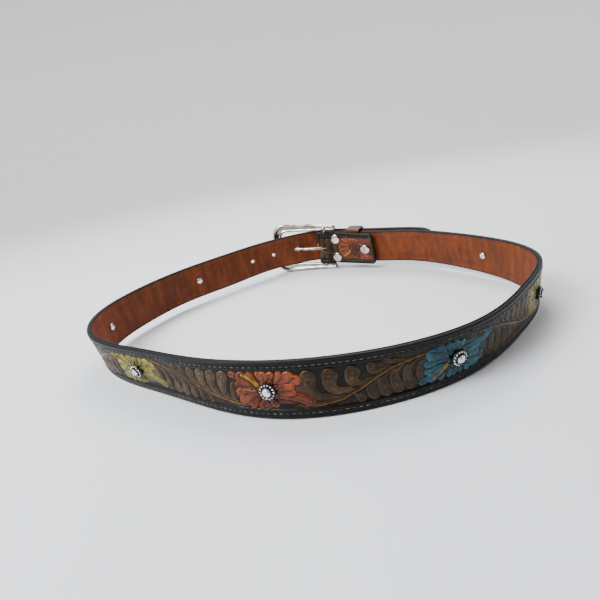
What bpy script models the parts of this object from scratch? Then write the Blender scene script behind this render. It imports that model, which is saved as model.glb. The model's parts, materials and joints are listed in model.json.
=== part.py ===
"""Western tooled belt, fastened into a loop and standing on its lower edge.

Metres, +Z up. The loop is drawn lying in its own plane, with the strap's lower edge at z = 0. Distances
along the strap count from the heel bar, clockwise seen from above: right, front, left, and back to the
buckle. The buckle is taller than the strap, so the finished belt is then leant forward until the front
edge and the buckle's lower rail stand on one floor, and its box is centred over the origin.
"""

import math
from collections import namedtuple

import bmesh
import bpy
import numpy as np
from mathutils import Matrix, Vector

# Leather
STRAP_WIDTH = 0.03175
TOP_THICKNESS = 0.0020
LINING_THICKNESS = 0.0010
EDGE_ROUND = 0.0004
PIECE_GAP = 0.0003

# Route of the strap's middle line, a row for each guide point round the loop
LOOP_WIDTH = 0.318
LOOP_DEPTH = 0.282
GuidePoint = namedtuple("GuidePoint", "bearing_deg reach lean_deg")
ROUTE = [GuidePoint(*row) for row in (
    (0, 0.955, -5.0),
    (20, 0.890, -10.0),
    (40, 0.875, -11.0),
    (60, 0.870, -7.0),
    (80, 0.965, 1.8),
    (100, 0.975, -4.5),
    (120, 0.880, 4.5),
    (140, 0.905, 0.0),
    (160, 0.945, 2.0),
    (180, 1.000, 3.0),
    (200, 0.955, 10.0),
    (220, 0.875, 7.5),
    (240, 0.885, 3.0),
    (260, 0.965, -7.5),
    (280, 1.000, -0.5),
    (300, 1.010, 8.0),
    (320, 1.005, 5.5),
    (340, 1.030, 1.5),
)]
HEEL_BAR_BEARING = 78.0
STATION_STEP = 0.0085

# Buckle end of the strap, folded round the heel bar
FLAP_LENGTH = 0.057
FLAP_CORNER = 0.003
FOLD_START = 0.003
FOLD_RUN = 0.0085
FOLD_DROP = 0.0012
DROP_RUN = 0.150

# Tail, which passes the buckle and lies over the strap's start
TAIL_LENGTH = 0.121
TAIL_TIP = 0.017
TAIL_TIP_WIDTH = 0.003
TAIL_GAP = 0.0015
TAIL_RISE = 0.042
HOLE_COUNT = 5
HOLE_PITCH = 0.0254
HOLE_DIAMETER = 0.0048

# Keeper
KEEPER_PLACE = 0.0345
KEEPER_WIDTH = 0.016
KEEPER_THICKNESS = 0.0014
KEEPER_PLAY = 0.0006
KEEPER_SEAT_GAP = 0.0006

# Buckle
BAR_DIAMETER = 0.0036
BAR_PLAY = 0.0007
FOLD_PLAY = 0.0012
FRAME_LENGTH = 0.069
FRAME_SHOULDER = 0.0125
SHOULDER_WIDTH = 0.0050
SLOT_PLAY = 0.0016
RAIL_WIDTH = 0.0086
RAIL_THICKNESS = 0.0042
SLOT_CORNER = 0.006
FRAME_TURN = 8.0
FRAME_BOW = 0.0052
BOW_ARC = 0.62
PRONG_DIAMETER = 0.0032
PRONG_REACH = 0.0335
PRONG_RUN = 0.007
PRONG_SLOT = 0.0052
PRONG_SLOT_LENGTH = 0.0080

# Post screws through the folded end: distance along the strap, height as a share of the half width
ScrewPlace = namedtuple("ScrewPlace", "distance height_share")
SCREWS = (ScrewPlace(0.0150, 0.60), ScrewPlace(0.0150, -0.60), ScrewPlace(0.0485, 0.0))
SCREW_HEAD = 0.0095
SCREW_HEAD_RISE = 0.0013
SCREW_SHANK = 0.0044
SCREW_CAP_RISE = 0.0005
SCREW_HEAD_GAP = 0.0007
SCREW_CAP_GAP = 0.0004

# Conchos, by their distance along the strap: the spacing is uneven on the real belt
CONCHO_PLACES = (0.172, 0.264, 0.356, 0.455, 0.553, 0.653, 0.758)
CONCHO_DIAMETER = 0.0084
BEZEL_DIAMETER = 0.0066
CONCHO_RISE = 0.0024
CRYSTAL_DIAMETER = 0.0050
CRYSTAL_RISE = 0.0011
RIVET_DIAMETER = 0.0058
RIVET_RISE = 0.0014
RIVET_POST = 0.0024
RIVET_SEAT_GAP = 0.0004

# Fineness
ROUTE_SAMPLES = 2880
ROUND_SIDES = 12
CRYSTAL_SIDES = 8
FOLD_STEPS = 8
TIP_STEPS = 6
CORNER_STEPS = 6

# What follows from the sizes above
STACK = TOP_THICKNESS + PIECE_GAP + LINING_THICKNESS
TOP_OFFSET = (STACK - TOP_THICKNESS) / 2
LINING_OFFSET = -(STACK - LINING_THICKNESS) / 2
BAR_RADIUS = BAR_DIAMETER / 2
LINING_FOLD_RADIUS = BAR_RADIUS + BAR_PLAY + LINING_THICKNESS / 2
TOP_FOLD_RADIUS = LINING_FOLD_RADIUS + LINING_THICKNESS / 2 + PIECE_GAP + TOP_THICKNESS / 2
BAR_OFFSET = TOP_OFFSET - TOP_FOLD_RADIUS
FLAP_CLEARANCE = KEEPER_THICKNESS + 2 * KEEPER_SEAT_GAP
FLAP_LINING_OFFSET = -STACK / 2 - FLAP_CLEARANCE - LINING_THICKNESS / 2
FLAP_TOP_OFFSET = FLAP_LINING_OFFSET - LINING_THICKNESS / 2 - PIECE_GAP - TOP_THICKNESS / 2
TAIL_OFFSET = STACK + TAIL_GAP
SLOT_HEIGHT = STRAP_WIDTH + FOLD_DROP + 2 * SLOT_PLAY
SLOT_MIDDLE = (STRAP_WIDTH - FOLD_DROP) / 2
SLOT_END = FRAME_LENGTH - FRAME_SHOULDER - RAIL_WIDTH
SLOT_STRAIGHT = SLOT_END - SLOT_CORNER
RAIL_FLARE = math.atan2(RAIL_WIDTH - SHOULDER_WIDTH, SLOT_STRAIGHT + FRAME_SHOULDER)
FRAME_FOOT = ((SLOT_HEIGHT / 2 + SHOULDER_WIDTH) * math.cos(RAIL_FLARE)
              + FRAME_SHOULDER * math.sin(RAIL_FLARE))

Station = namedtuple("Station", "foot out up")


def smooth_step(value):
    value = min(max(value, 0.0), 1.0)
    return value * value * (3 - 2 * value)


def ring_spline(values, bearings):
    """A closed cubic through values at equal bearings, read at the given bearings in degrees."""
    count = len(values)
    step = 360.0 / count
    values = np.array(values, float)
    matrix = 4 * np.eye(count) + np.roll(np.eye(count), 1, axis=0) + np.roll(np.eye(count), -1, axis=0)
    turn = np.linalg.solve(matrix, 6 * (np.roll(values, -1) - 2 * values + np.roll(values, 1)))
    place = (bearings % 360.0) / step
    low = np.floor(place).astype(int) % count
    high = (low + 1) % count
    right = place - np.floor(place)
    left = 1 - right
    return (left * values[low] + right * values[high]
            + ((left**3 - left) * turn[low] + (right**3 - right) * turn[high]) / 6)


class Loop:
    """The strap's middle line, read by the distance along it from the heel bar."""

    def __init__(self):
        bearings = HEEL_BAR_BEARING - np.linspace(0, 360, ROUTE_SAMPLES + 1)
        reach = ring_spline([row.reach for row in ROUTE], bearings)
        self.leans = np.radians(ring_spline([row.lean_deg for row in ROUTE], bearings))
        angle = np.radians(bearings)
        self.x = LOOP_WIDTH / 2 * reach * np.cos(angle)
        self.y = LOOP_DEPTH / 2 * reach * np.sin(angle)
        steps = np.hypot(np.diff(self.x), np.diff(self.y))
        self.distances = np.concatenate([[0], np.cumsum(steps)])
        self.length = self.distances[-1]

    def read(self, values, distance):
        return float(np.interp(distance % self.length, self.distances, values))

    def point(self, distance):
        return Vector((self.read(self.x, distance), self.read(self.y, distance), 0))

    def outward(self, distance):
        reach = STATION_STEP / 4
        along = self.point(distance + reach) - self.point(distance - reach)
        return Vector((-along.y, along.x, 0)).normalized()

    def station(self, distance, offset, drop=0.0):
        """Lower edge of a layer that stands offset from the middle line, with its two directions."""
        outward = self.outward(distance)
        lean = self.read(self.leans, distance)
        out = outward * math.cos(lean) - Vector((0, 0, math.sin(lean)))
        up = outward * math.sin(lean) + Vector((0, 0, math.cos(lean)))
        lift = abs(math.sin(lean)) * STACK / 2 - drop
        return Station(self.point(distance) + out * offset + Vector((0, 0, lift)), out, up)


LOOP = Loop()
USED_HOLE = LOOP.length - PRONG_REACH
STRAP_END = LOOP.length + TAIL_LENGTH


def drop_at(distance):
    """How far the buckle end hangs in the slot."""
    return FOLD_DROP * (1 - smooth_step(distance / DROP_RUN))


def tail_offset_at(distance):
    """How far the tail stands outside the loop's middle line."""
    return TAIL_OFFSET * smooth_step((distance - LOOP.length + TAIL_RISE) / TAIL_RISE)


def strap_station(distance, offset):
    return LOOP.station(distance, offset + tail_offset_at(distance), drop_at(distance))


def flap_station(distance, fold_offset, flap_offset):
    """The folded end, whose finished side faces the inside of the loop."""
    offset = fold_offset + (flap_offset - fold_offset) * smooth_step((distance - FOLD_START) / FOLD_RUN)
    foot, out, up = LOOP.station(distance, offset, drop_at(distance))
    return Station(foot, -out, up)


def fold_stations(radius):
    """A half turn round the heel bar, from the flap's side to the strap's."""
    foot, out, up = LOOP.station(0, BAR_OFFSET, FOLD_DROP)
    back = up.cross(out)
    centre = foot + back * FOLD_PLAY
    for step in range(FOLD_STEPS + 1):
        angle = math.pi * step / FOLD_STEPS
        side = -out * math.cos(angle) + back * math.sin(angle)
        yield Station(centre + side * radius, side, up)


def end_inset(distance_from_end, run, depth):
    """How much narrower each edge is, this far from a rounded end."""
    share = 1 - min(distance_from_end / run, 1.0)
    return depth * (1 - math.sqrt(max(0.0, 1 - share * share)))


def end_distances(run, steps):
    """Stations crowded towards a rounded end."""
    return [run * (1 - math.cos(math.pi / 2 * step / steps)) for step in range(steps)]


def leather_ring(station, thickness, inset=0.0):
    """One section of a strap: a flat rectangle with its long edges rounded."""
    half = thickness / 2
    low, high = inset, STRAP_WIDTH - inset
    cut = EDGE_ROUND
    outline = (
        (-half, low + cut), (-half, high - cut), (-half + cut, high), (half - cut, high),
        (half, high - cut), (half, low + cut), (half - cut, low), (-half + cut, low),
    )
    return [station.foot + station.out * across + station.up * rise for across, rise in outline]


def even_distances(start, end):
    count = max(1, round((end - start) / STATION_STEP))
    return [start + (end - start) * step / count for step in range(count + 1)]


def folded_layer(thickness, offset, fold_radius, flap_offset, trim):
    """Sections of one layer of leather, from the flap's end round the bar and the loop to the tip."""
    rings = []
    flap_end = FLAP_LENGTH - trim
    flap_places = end_distances(FLAP_CORNER, TIP_STEPS // 2)
    flap_straight = [FOLD_START * 0.6, FOLD_START, FOLD_START + FOLD_RUN * 0.25, FOLD_START + FOLD_RUN * 0.5,
                     FOLD_START + FOLD_RUN * 0.75]
    flap_straight += even_distances(FOLD_START + FOLD_RUN, FLAP_LENGTH - FLAP_CORNER - PIECE_GAP)
    flap_places += [flap_end - place for place in reversed(flap_straight)]
    fold_offset = BAR_OFFSET - fold_radius
    for place in flap_places:
        inset = end_inset(place, FLAP_CORNER, FLAP_CORNER)
        rings.append(leather_ring(flap_station(flap_end - place, fold_offset, flap_offset), thickness, inset))
    rings += [leather_ring(station, thickness) for station in fold_stations(fold_radius)]
    tip = STRAP_END - trim
    tip_places = [tip - place for place in reversed(end_distances(TAIL_TIP, TIP_STEPS))]
    places = even_distances(0, STRAP_END - PIECE_GAP - TAIL_TIP)[1:] + tip_places
    depth = (STRAP_WIDTH - TAIL_TIP_WIDTH) / 2
    for place in places:
        inset = end_inset(tip - place, TAIL_TIP, depth)
        rings.append(leather_ring(strap_station(place, offset), thickness, inset))
    return rings


# Scene, materials and mesh helpers
def clear_scene():
    for old in list(bpy.data.objects):
        bpy.data.objects.remove(old, do_unlink=True)


def new_collection(name):
    collection = bpy.data.collections.new(name)
    bpy.context.scene.collection.children.link(collection)
    return collection


def finish(name, colour, roughness, metallic=0.0, transmission=0.0):
    material = bpy.data.materials.new(name)
    material.use_nodes = True
    shader = material.node_tree.nodes["Principled BSDF"]
    shader.inputs["Base Color"].default_value = (*colour, 1)
    shader.inputs["Roughness"].default_value = roughness
    shader.inputs["Metallic"].default_value = metallic
    shader.inputs["Transmission Weight"].default_value = transmission
    return material


def add_object(name, mesh, collection, material=None, smooth_angle=40):
    part = bpy.data.objects.new(name, mesh)
    collection.objects.link(part)
    if material:
        mesh.materials.append(material)
        mesh.shade_smooth()
        mesh.set_sharp_from_angle(angle=math.radians(smooth_angle))
    else:
        part.hide_render = True
        part.display_type = "WIRE"
    return part


def mesh_from(name, build):
    """A mesh filled by one bmesh function, with its faces turned outwards."""
    mesh = bpy.data.meshes.new(name)
    work = bmesh.new()
    build(work)
    bmesh.ops.recalc_face_normals(work, faces=work.faces[:])
    work.to_mesh(mesh)
    work.free()
    return mesh


def loft(work, rings):
    """Skin between rings of equally many points, capped at both ends.

    Each quad is split so that the diagonals of a strap's two faces lie behind one another, which keeps
    the gap between two layers even where the strap twists.
    """
    rows = [[work.verts.new(point) for point in ring] for ring in rings]
    for first, second in zip(rows, rows[1:]):
        for side in range(len(first)):
            after = (side + 1) % len(first)
            a, b, c, d = first[side], first[after], second[after], second[side]
            for corners in ((a, b, c), (a, c, d)) if side < len(first) / 2 else ((a, b, d), (b, c, d)):
                work.faces.new(corners)
    work.faces.new(rows[0])
    work.faces.new(rows[-1])


def axes_matrix(centre, x_axis, y_axis, z_axis):
    turn = Matrix((x_axis, y_axis, z_axis)).transposed()
    return Matrix.Translation(centre) @ turn.to_4x4()


def facing(centre, direction, up):
    """A matrix whose Z axis points along direction."""
    direction = direction.normalized()
    side = up.cross(direction).normalized()
    return axes_matrix(centre, side, direction.cross(side), direction)


def turned(name, profile, matrix, collection, material):
    """A turned piece: radius and height pairs, read down its outside, spun round Z."""
    mesh = bpy.data.meshes.new(name)
    mesh.from_pydata([(radius, 0, height) for radius, height in profile],
                     [(i, i + 1) for i in range(len(profile) - 1)], [])
    part = add_object(name, mesh, collection, material)
    screw = part.modifiers.new("Turn", "SCREW")
    screw.steps = screw.render_steps = ROUND_SIDES
    screw.use_merge_vertices = True
    screw.merge_threshold = 0.00005
    screw.use_smooth_shade = False
    part.matrix_world = matrix
    return part


def cylinder(work, radius, length, matrix, sides=ROUND_SIDES):
    bmesh.ops.create_cone(work, cap_ends=True, segments=sides, radius1=radius, radius2=radius,
                          depth=length, matrix=matrix)


def cut(part, cutter, operation="DIFFERENCE"):
    boolean = part.modifiers.new(cutter.name, "BOOLEAN")
    boolean.operation = operation
    boolean.object = cutter


# Places of what goes through the leather
def hole_places():
    middle = (HOLE_COUNT - 1) / 2
    return [USED_HOLE + (number - middle) * HOLE_PITCH for number in range(HOLE_COUNT)]


def screw_station(place):
    """Middle of a screw's shank, with the reach of the leather either side of it."""
    inner = FLAP_TOP_OFFSET - TOP_THICKNESS / 2
    outer = STACK / 2
    foot, out, up = LOOP.station(place.distance, (inner + outer) / 2, drop_at(place.distance))
    height = STRAP_WIDTH / 2 * (1 + place.height_share)
    return foot + up * height, out, up, (outer - inner) / 2


def concho_station(distance):
    foot, out, up = strap_station(distance, 0)
    return foot + up * STRAP_WIDTH / 2, out, up


def bore_cutter(cutters, matrix):
    """Every round hole through the leather, as one cutter. The used hole is pulled along the prong."""
    def build(work):
        reach = 2 * PIECE_GAP
        for distance in hole_places():
            foot, out, up = strap_station(distance, 0)
            centre = foot + up * STRAP_WIDTH / 2
            length = STACK + 2 * reach
            if distance == USED_HOLE:
                out = prong_direction(matrix)
                length *= 2
            cylinder(work, HOLE_DIAMETER / 2, length, facing(centre, out, up))
        for place in SCREWS:
            centre, out, up, half = screw_station(place)
            cylinder(work, SCREW_SHANK / 2 + PIECE_GAP, 2 * (half + reach), facing(centre, out, up))
        for distance in CONCHO_PLACES:
            centre, out, up = concho_station(distance)
            cylinder(work, RIVET_POST / 2 + PIECE_GAP, STACK + 2 * reach, facing(centre, out, up))
    return add_object("bores", mesh_from("bores", build), cutters)


def prong_slot_cutter(cutters):
    """The slot through the fold that lets the prong out."""
    foot, out, up = LOOP.station(0, BAR_OFFSET, FOLD_DROP)
    centre = foot + up * STRAP_WIDTH / 2
    back = up.cross(out)
    depth = 2 * TOP_FOLD_RADIUS + TOP_THICKNESS + FOLD_RUN / 5
    end = TOP_FOLD_RADIUS + TOP_THICKNESS + FOLD_PLAY

    def build(work):
        size = Matrix.Diagonal((PRONG_SLOT_LENGTH + end, depth, PRONG_SLOT, 1))
        middle = centre + back * (end - PRONG_SLOT_LENGTH) / 2
        bmesh.ops.create_cube(work, size=1, matrix=axes_matrix(middle, back, out, up) @ size)
    return add_object("prong_slot", mesh_from("prong_slot", build), cutters)


# Pieces
def make_leather(parts, cutters, matrix):
    tooled = finish("tooled_leather", (0.055, 0.040, 0.022), 0.45)
    lining = finish("lining_leather", (0.250, 0.095, 0.045), 0.55)
    bores = bore_cutter(cutters, matrix)
    slot = prong_slot_cutter(cutters)
    layers = (
        ("strap", tooled, TOP_THICKNESS, TOP_OFFSET, TOP_FOLD_RADIUS, FLAP_TOP_OFFSET, 0.0),
        ("lining", lining, LINING_THICKNESS, LINING_OFFSET, LINING_FOLD_RADIUS, FLAP_LINING_OFFSET,
         PIECE_GAP),
    )
    for name, material, *sizes in layers:
        rings = folded_layer(*sizes)
        part = add_object(name, mesh_from(name, lambda work: loft(work, rings)), parts, material)
        cut(part, bores)
        cut(part, slot)


def keeper_ring(distance):
    """Inner and outer outline of the keeper at one station, a closed band round strap and tail."""
    foot, out, up = LOOP.station(distance, 0)
    inner = -STACK / 2 - KEEPER_SEAT_GAP
    outer = TAIL_OFFSET + STACK / 2 + KEEPER_SEAT_GAP
    low = -FOLD_DROP - KEEPER_PLAY
    high = STRAP_WIDTH + KEEPER_PLAY
    rings = []
    for grow, corner in ((0.0, EDGE_ROUND), (KEEPER_THICKNESS, EDGE_ROUND + KEEPER_THICKNESS)):
        left, right, bottom, top = inner - grow, outer + grow, low - grow, high + grow
        outline = (
            (left, bottom + corner), (left, top - corner), (left + corner, top), (right - corner, top),
            (right, top - corner), (right, bottom + corner), (right - corner, bottom), (left + corner, bottom),
        )
        rings.append([foot + out * across + up * rise for across, rise in outline])
    return rings


def make_keeper(parts):
    leather = finish("keeper_leather", (0.230, 0.085, 0.035), 0.45)
    places = [KEEPER_PLACE + KEEPER_WIDTH * share for share in (-0.5, -0.25, 0, 0.25, 0.5)]
    sections = [keeper_ring(place) for place in places]

    def build(work):
        inside = [[work.verts.new(point) for point in inner] for inner, outer in sections]
        outside = [[work.verts.new(point) for point in outer] for inner, outer in sections]
        sides = range(len(inside[0]))
        for rows in (inside, outside):
            for first, second in zip(rows, rows[1:]):
                for side in sides:
                    after = (side + 1) % len(first)
                    work.faces.new((first[side], first[after], second[after], second[side]))
        for end in (0, -1):
            for side in sides:
                after = (side + 1) % len(inside[end])
                work.faces.new((inside[end][side], inside[end][after], outside[end][after], outside[end][side]))
    add_object("keeper", mesh_from("keeper", build), parts, leather)


def front_reach():
    """How far forward of the loop's centre the strap's lower edge stands."""
    places = np.arange(0, LOOP.length, STATION_STEP)
    return -min((LOOP.point(place) + LOOP.outward(place) * STACK / 2).y for place in places)


def bar_centre():
    foot, out, up = LOOP.station(0, BAR_OFFSET, 0)
    return foot + Vector((0, 0, SLOT_MIDDLE))


def forward_lean():
    """The angle that brings the front edge and the buckle's lower rail onto one floor."""
    depth = bar_centre().y + front_reach()
    height = SLOT_MIDDLE
    return math.asin((FRAME_FOOT - PIECE_GAP) / math.hypot(depth, height)) - math.atan2(height, depth)


def buckle_matrix():
    """The buckle's own frame: X to the far bar, Y up, Z outwards. Its lower rail lies level on the floor."""
    lean = forward_lean()
    upright = Vector((0, math.sin(lean), math.cos(lean)))
    outward = LOOP.outward(0)
    back = Vector((-outward.y, outward.x, 0))
    back.rotate(Matrix.Rotation(math.radians(FRAME_TURN), 3, "Z"))
    z_axis = back.cross(upright).normalized()
    level = upright.cross(z_axis)
    x_axis = level * math.cos(RAIL_FLARE) + upright * math.sin(RAIL_FLARE)
    return axes_matrix(bar_centre(), x_axis, z_axis.cross(x_axis), z_axis)


def rail_section(width):
    """Rail in section, across and through: a round outer roll, a groove and a thinner inner roll."""
    roll = RAIL_THICKNESS / 2
    facet = math.radians(22.5)
    inner_roll = roll * 0.72
    outer_middle = width - roll * math.cos(facet)
    groove = outer_middle - roll
    points = []
    for angle in (-math.pi / 2, -facet, facet, math.pi / 2):
        points.append((outer_middle + roll * math.cos(angle), roll * math.sin(angle)))
    points.append((groove + roll * 0.15, inner_roll * 0.70))
    points.append((groove * 0.5, inner_roll))
    points.append((0, inner_roll * 0.5))
    points.append((0, -inner_roll * 0.5))
    points.append((groove * 0.5, -inner_roll))
    points.append((groove + roll * 0.15, -inner_roll * 0.70))
    return points


def bow_at(place):
    """How far outwards the frame bulges, this far from the heel bar."""
    shares = [min(max((reach + FRAME_SHOULDER) / FRAME_LENGTH, 0), 1) for reach in (place, 0)]
    bulge, at_bar = (math.sin(math.pi * share * BOW_ARC) for share in shares)
    return FRAME_BOW * (bulge - at_bar)


def slot_outline():
    """Points and outward directions along the slot's edge, the rail's width there, and how full it is."""
    half = SLOT_HEIGHT / 2
    run = SLOT_STRAIGHT + FRAME_SHOULDER
    upper = []
    for share, full in ((0, 0.45), (0.018, 0.80), (0.05, 1), (0.2, 1), (0.36, 1), (0.52, 1), (0.68, 1), (0.84, 1)):
        width = SHOULDER_WIDTH + (RAIL_WIDTH - SHOULDER_WIDTH) * share
        upper.append((-FRAME_SHOULDER + run * share, half, 0.0, 1.0, width, full))
    for step in range(CORNER_STEPS + 1):
        angle = math.pi / 2 * (1 - step / CORNER_STEPS)
        across, rise = math.cos(angle), math.sin(angle)
        upper.append((SLOT_STRAIGHT + SLOT_CORNER * across, half - SLOT_CORNER + SLOT_CORNER * rise,
                      across, rise, RAIL_WIDTH, 1))
    upper += [(SLOT_END, share * (half - SLOT_CORNER), 1.0, 0.0, RAIL_WIDTH, 1) for share in (0.5, 0.0)]
    lower = [(x, -y, across, -rise, width, full) for x, y, across, rise, width, full in reversed(upper[:-1])]
    return upper + lower


def make_buckle_frame(parts, cutters, matrix):
    chrome = finish("bright_metal", (0.62, 0.60, 0.57), 0.16, 1.0)
    rings = []
    for x, y, across, rise, width, full in slot_outline():
        ring = []
        for reach, through in rail_section(width):
            reach = width / 2 + (reach - width / 2) * full
            place = x + across * reach
            ring.append(Vector((place, y + rise * reach, bow_at(place) + through * full)))
        rings.append(ring)
    frame = add_object("buckle_frame", mesh_from("buckle_frame", lambda work: loft(work, rings)), parts, chrome)
    frame.matrix_world = matrix
    bar_length = SLOT_HEIGHT + SHOULDER_WIDTH
    lie = Matrix.Rotation(math.pi / 2, 4, "X")
    bar = add_object("heel_bar", mesh_from("heel_bar", lambda work: cylinder(
        work, BAR_RADIUS, bar_length, lie)), cutters)
    bar.matrix_world = matrix
    cut(frame, bar, "UNION")


def used_hole_in(matrix):
    """The middle of the used hole, in the buckle's own frame."""
    foot, out, up = strap_station(USED_HOLE, 0)
    return matrix.inverted() @ (foot + up * STRAP_WIDTH / 2)


def prong_rest():
    """Where the prong comes down on the far bar, its height along the bar left open."""
    middle = SLOT_END + RAIL_WIDTH / 2
    height = bow_at(middle) + RAIL_THICKNESS / 2 + PRONG_DIAMETER / 2 + PIECE_GAP
    return middle, height


def prong_direction(matrix):
    hole = used_hole_in(matrix)
    place, height = prong_rest()
    rest = Vector((place, hole.y * place / hole.x, height))
    return (matrix.to_3x3() @ (rest - hole)).normalized()


def prong_path(matrix):
    """Round the heel bar, inside the tail, through the used hole and onto the far bar."""
    ring = BAR_RADIUS + PIECE_GAP + PRONG_DIAMETER / 2
    hole = used_hole_in(matrix)
    place, height = prong_rest()
    slope = hole.y / hole.x
    points = []
    for turn in range(60, -91, -15):
        angle = math.radians(turn)
        points.append(Vector((-ring * math.cos(angle), 0, ring * math.sin(angle))))
    rest = Vector((place, slope * place, height))
    before = hole - (rest - hole).normalized() * PRONG_RUN
    points.append(Vector((before.x * 0.45, slope * before.x * 0.45, -ring)))
    points.append(Vector((before.x * 0.80, slope * before.x * 0.80, (before.z - ring) / 2)))
    points += [before, hole, rest]
    end = place + RAIL_WIDTH * 0.45
    points.append(Vector((end, slope * end, height + bow_at(end) - bow_at(place))))
    return points


def make_prong(parts, matrix):
    steel = finish("prong_steel", (0.66, 0.64, 0.60), 0.2, 1.0)
    points = prong_path(matrix)
    wire = PRONG_DIAMETER / 2
    curve = bpy.data.curves.new("prong", "CURVE")
    curve.dimensions = "3D"
    curve.bevel_depth = wire
    curve.bevel_resolution = 2
    curve.use_fill_caps = True
    spline = curve.splines.new("POLY")
    spline.points.add(len(points) - 1)
    for knot, point in zip(spline.points, points):
        knot.co = (*point, 1)
    prong = bpy.data.objects.new("prong", curve)
    curve.materials.append(steel)
    parts.objects.link(prong)
    prong.matrix_world = matrix


def make_screws(parts):
    steel = finish("screw_steel", (0.60, 0.58, 0.55), 0.25, 1.0)
    head, shank = SCREW_HEAD / 2, SCREW_SHANK / 2
    for number, place in enumerate(SCREWS, 1):
        centre, out, up, half = screw_station(place)
        seat = half + SCREW_HEAD_GAP
        cap = half + SCREW_CAP_GAP
        profile = (
            (0, seat + SCREW_HEAD_RISE), (head * 0.55, seat + SCREW_HEAD_RISE * 0.92),
            (head * 0.88, seat + SCREW_HEAD_RISE * 0.62), (head, seat + SCREW_HEAD_RISE * 0.2), (head, seat),
            (shank, seat), (shank, -cap), (head * 0.95, -cap), (head * 0.95, -cap - SCREW_CAP_RISE),
            (0, -cap - SCREW_CAP_RISE),
        )
        turned(f"post_screw_{number}", profile, facing(centre, -out, up), parts, steel)


def setting_profile():
    """A dished concho: a flange, a raised bezel and the cup that holds the crystal."""
    rim, bezel, cup = CONCHO_DIAMETER / 2, BEZEL_DIAMETER / 2, CRYSTAL_DIAMETER / 2 + PIECE_GAP
    floor = CONCHO_RISE * 0.25
    return (
        (0, floor), (cup, floor), (cup, CONCHO_RISE * 0.90), (bezel - EDGE_ROUND / 2, CONCHO_RISE),
        (bezel, CONCHO_RISE * 0.55), (rim * 0.93, CONCHO_RISE * 0.50), (rim, CONCHO_RISE * 0.25),
        (rim, 0), (0, 0),
    )


def crystal_mesh():
    """A cut stone: an eight-sided table, a crown of kites and triangles, a girdle and a flat culet."""
    radius = CRYSTAL_DIAMETER / 2
    seat = CONCHO_RISE * 0.25 + PIECE_GAP
    girdle = CONCHO_RISE * 0.80
    rows = (
        (radius * 0.30, seat, 0.5), (radius, girdle, 0.0), (radius, girdle + PIECE_GAP, 0.0),
        (radius * 0.58, girdle + CRYSTAL_RISE, 0.5),
    )

    def build(work):
        rings = []
        for reach, height, turn in rows:
            ring = []
            for side in range(CRYSTAL_SIDES):
                angle = 2 * math.pi * (side + turn) / CRYSTAL_SIDES
                ring.append(Vector((reach * math.cos(angle), reach * math.sin(angle), height)))
            rings.append(ring)
        corners = [work.verts.new(point) for ring in rings for point in ring]
        bmesh.ops.convex_hull(work, input=corners)
    return mesh_from("crystal", build)


def make_conchos(parts):
    silver = finish("silver", (0.56, 0.55, 0.53), 0.3, 1.0)
    clear = finish("clear_crystal", (0.92, 0.95, 0.97), 0.03, 0.0, 0.7)
    nickel = finish("nickel", (0.62, 0.60, 0.57), 0.25, 1.0)
    stone = crystal_mesh()
    for number, distance in enumerate(CONCHO_PLACES, 1):
        centre, out, up = concho_station(distance)
        seat = facing(centre + out * (STACK / 2 + RIVET_SEAT_GAP), out, up)
        turned(f"concho_{number}", setting_profile(), seat, parts, silver)
        crystal = add_object(f"crystal_{number}", stone.copy(), parts, clear, 5)
        crystal.matrix_world = seat
        back = facing(centre - out * (STACK / 2 + RIVET_SEAT_GAP), -out, up)
        cap, post = RIVET_DIAMETER / 2, RIVET_POST / 2
        profile = (
            (0, RIVET_RISE), (cap * 0.55, RIVET_RISE * 0.85), (cap * 0.88, RIVET_RISE * 0.45), (cap, 0),
            (post, 0), (post, -STACK - RIVET_SEAT_GAP), (0, -STACK - RIVET_SEAT_GAP),
        )
        turned(f"rivet_back_{number}", profile, back, parts, nickel)


def stand_on_floor(parts, cutters):
    """Lean the belt forward, then centre its box over the origin with its foot at z = 0."""
    stand = bpy.data.objects.new("stand", None)
    bpy.context.scene.collection.objects.link(stand)
    for piece in (*parts.objects, *cutters.objects):
        piece.parent = stand
    stand.rotation_euler = (forward_lean(), 0, 0)
    bpy.context.view_layer.update()
    graph = bpy.context.evaluated_depsgraph_get()
    points = []
    for part in parts.objects:
        shape = part.evaluated_get(graph)
        points += [shape.matrix_world @ vertex.co for vertex in shape.to_mesh().vertices]
        shape.to_mesh_clear()
    points = np.array(points)
    low, high = points.min(axis=0), points.max(axis=0)
    stand.location = (-(low[0] + high[0]) / 2, -(low[1] + high[1]) / 2, -low[2])


def make_belt():
    clear_scene()
    parts = new_collection("western_tooled_belt")
    cutters = new_collection("cutters")
    buckle = buckle_matrix()
    make_leather(parts, cutters, buckle)
    make_keeper(parts)
    make_buckle_frame(parts, cutters, buckle)
    make_prong(parts, buckle)
    make_screws(parts)
    make_conchos(parts)
    stand_on_floor(parts, cutters)


make_belt()
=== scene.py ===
# %% [markdown]
# # Western tooled belt
# A leather belt, carved and dyed by hand, fastened into a loop and standing on its edge. The solids that
# carry it are loaded first and never changed. Each visible surface is then modelled round them.

# %% Load the solids
import json
from collections import namedtuple
from math import asin, atan2, cos, degrees, hypot, pi, radians, sin

import bpy
import numpy as np
from mathutils import Matrix, Vector

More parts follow.
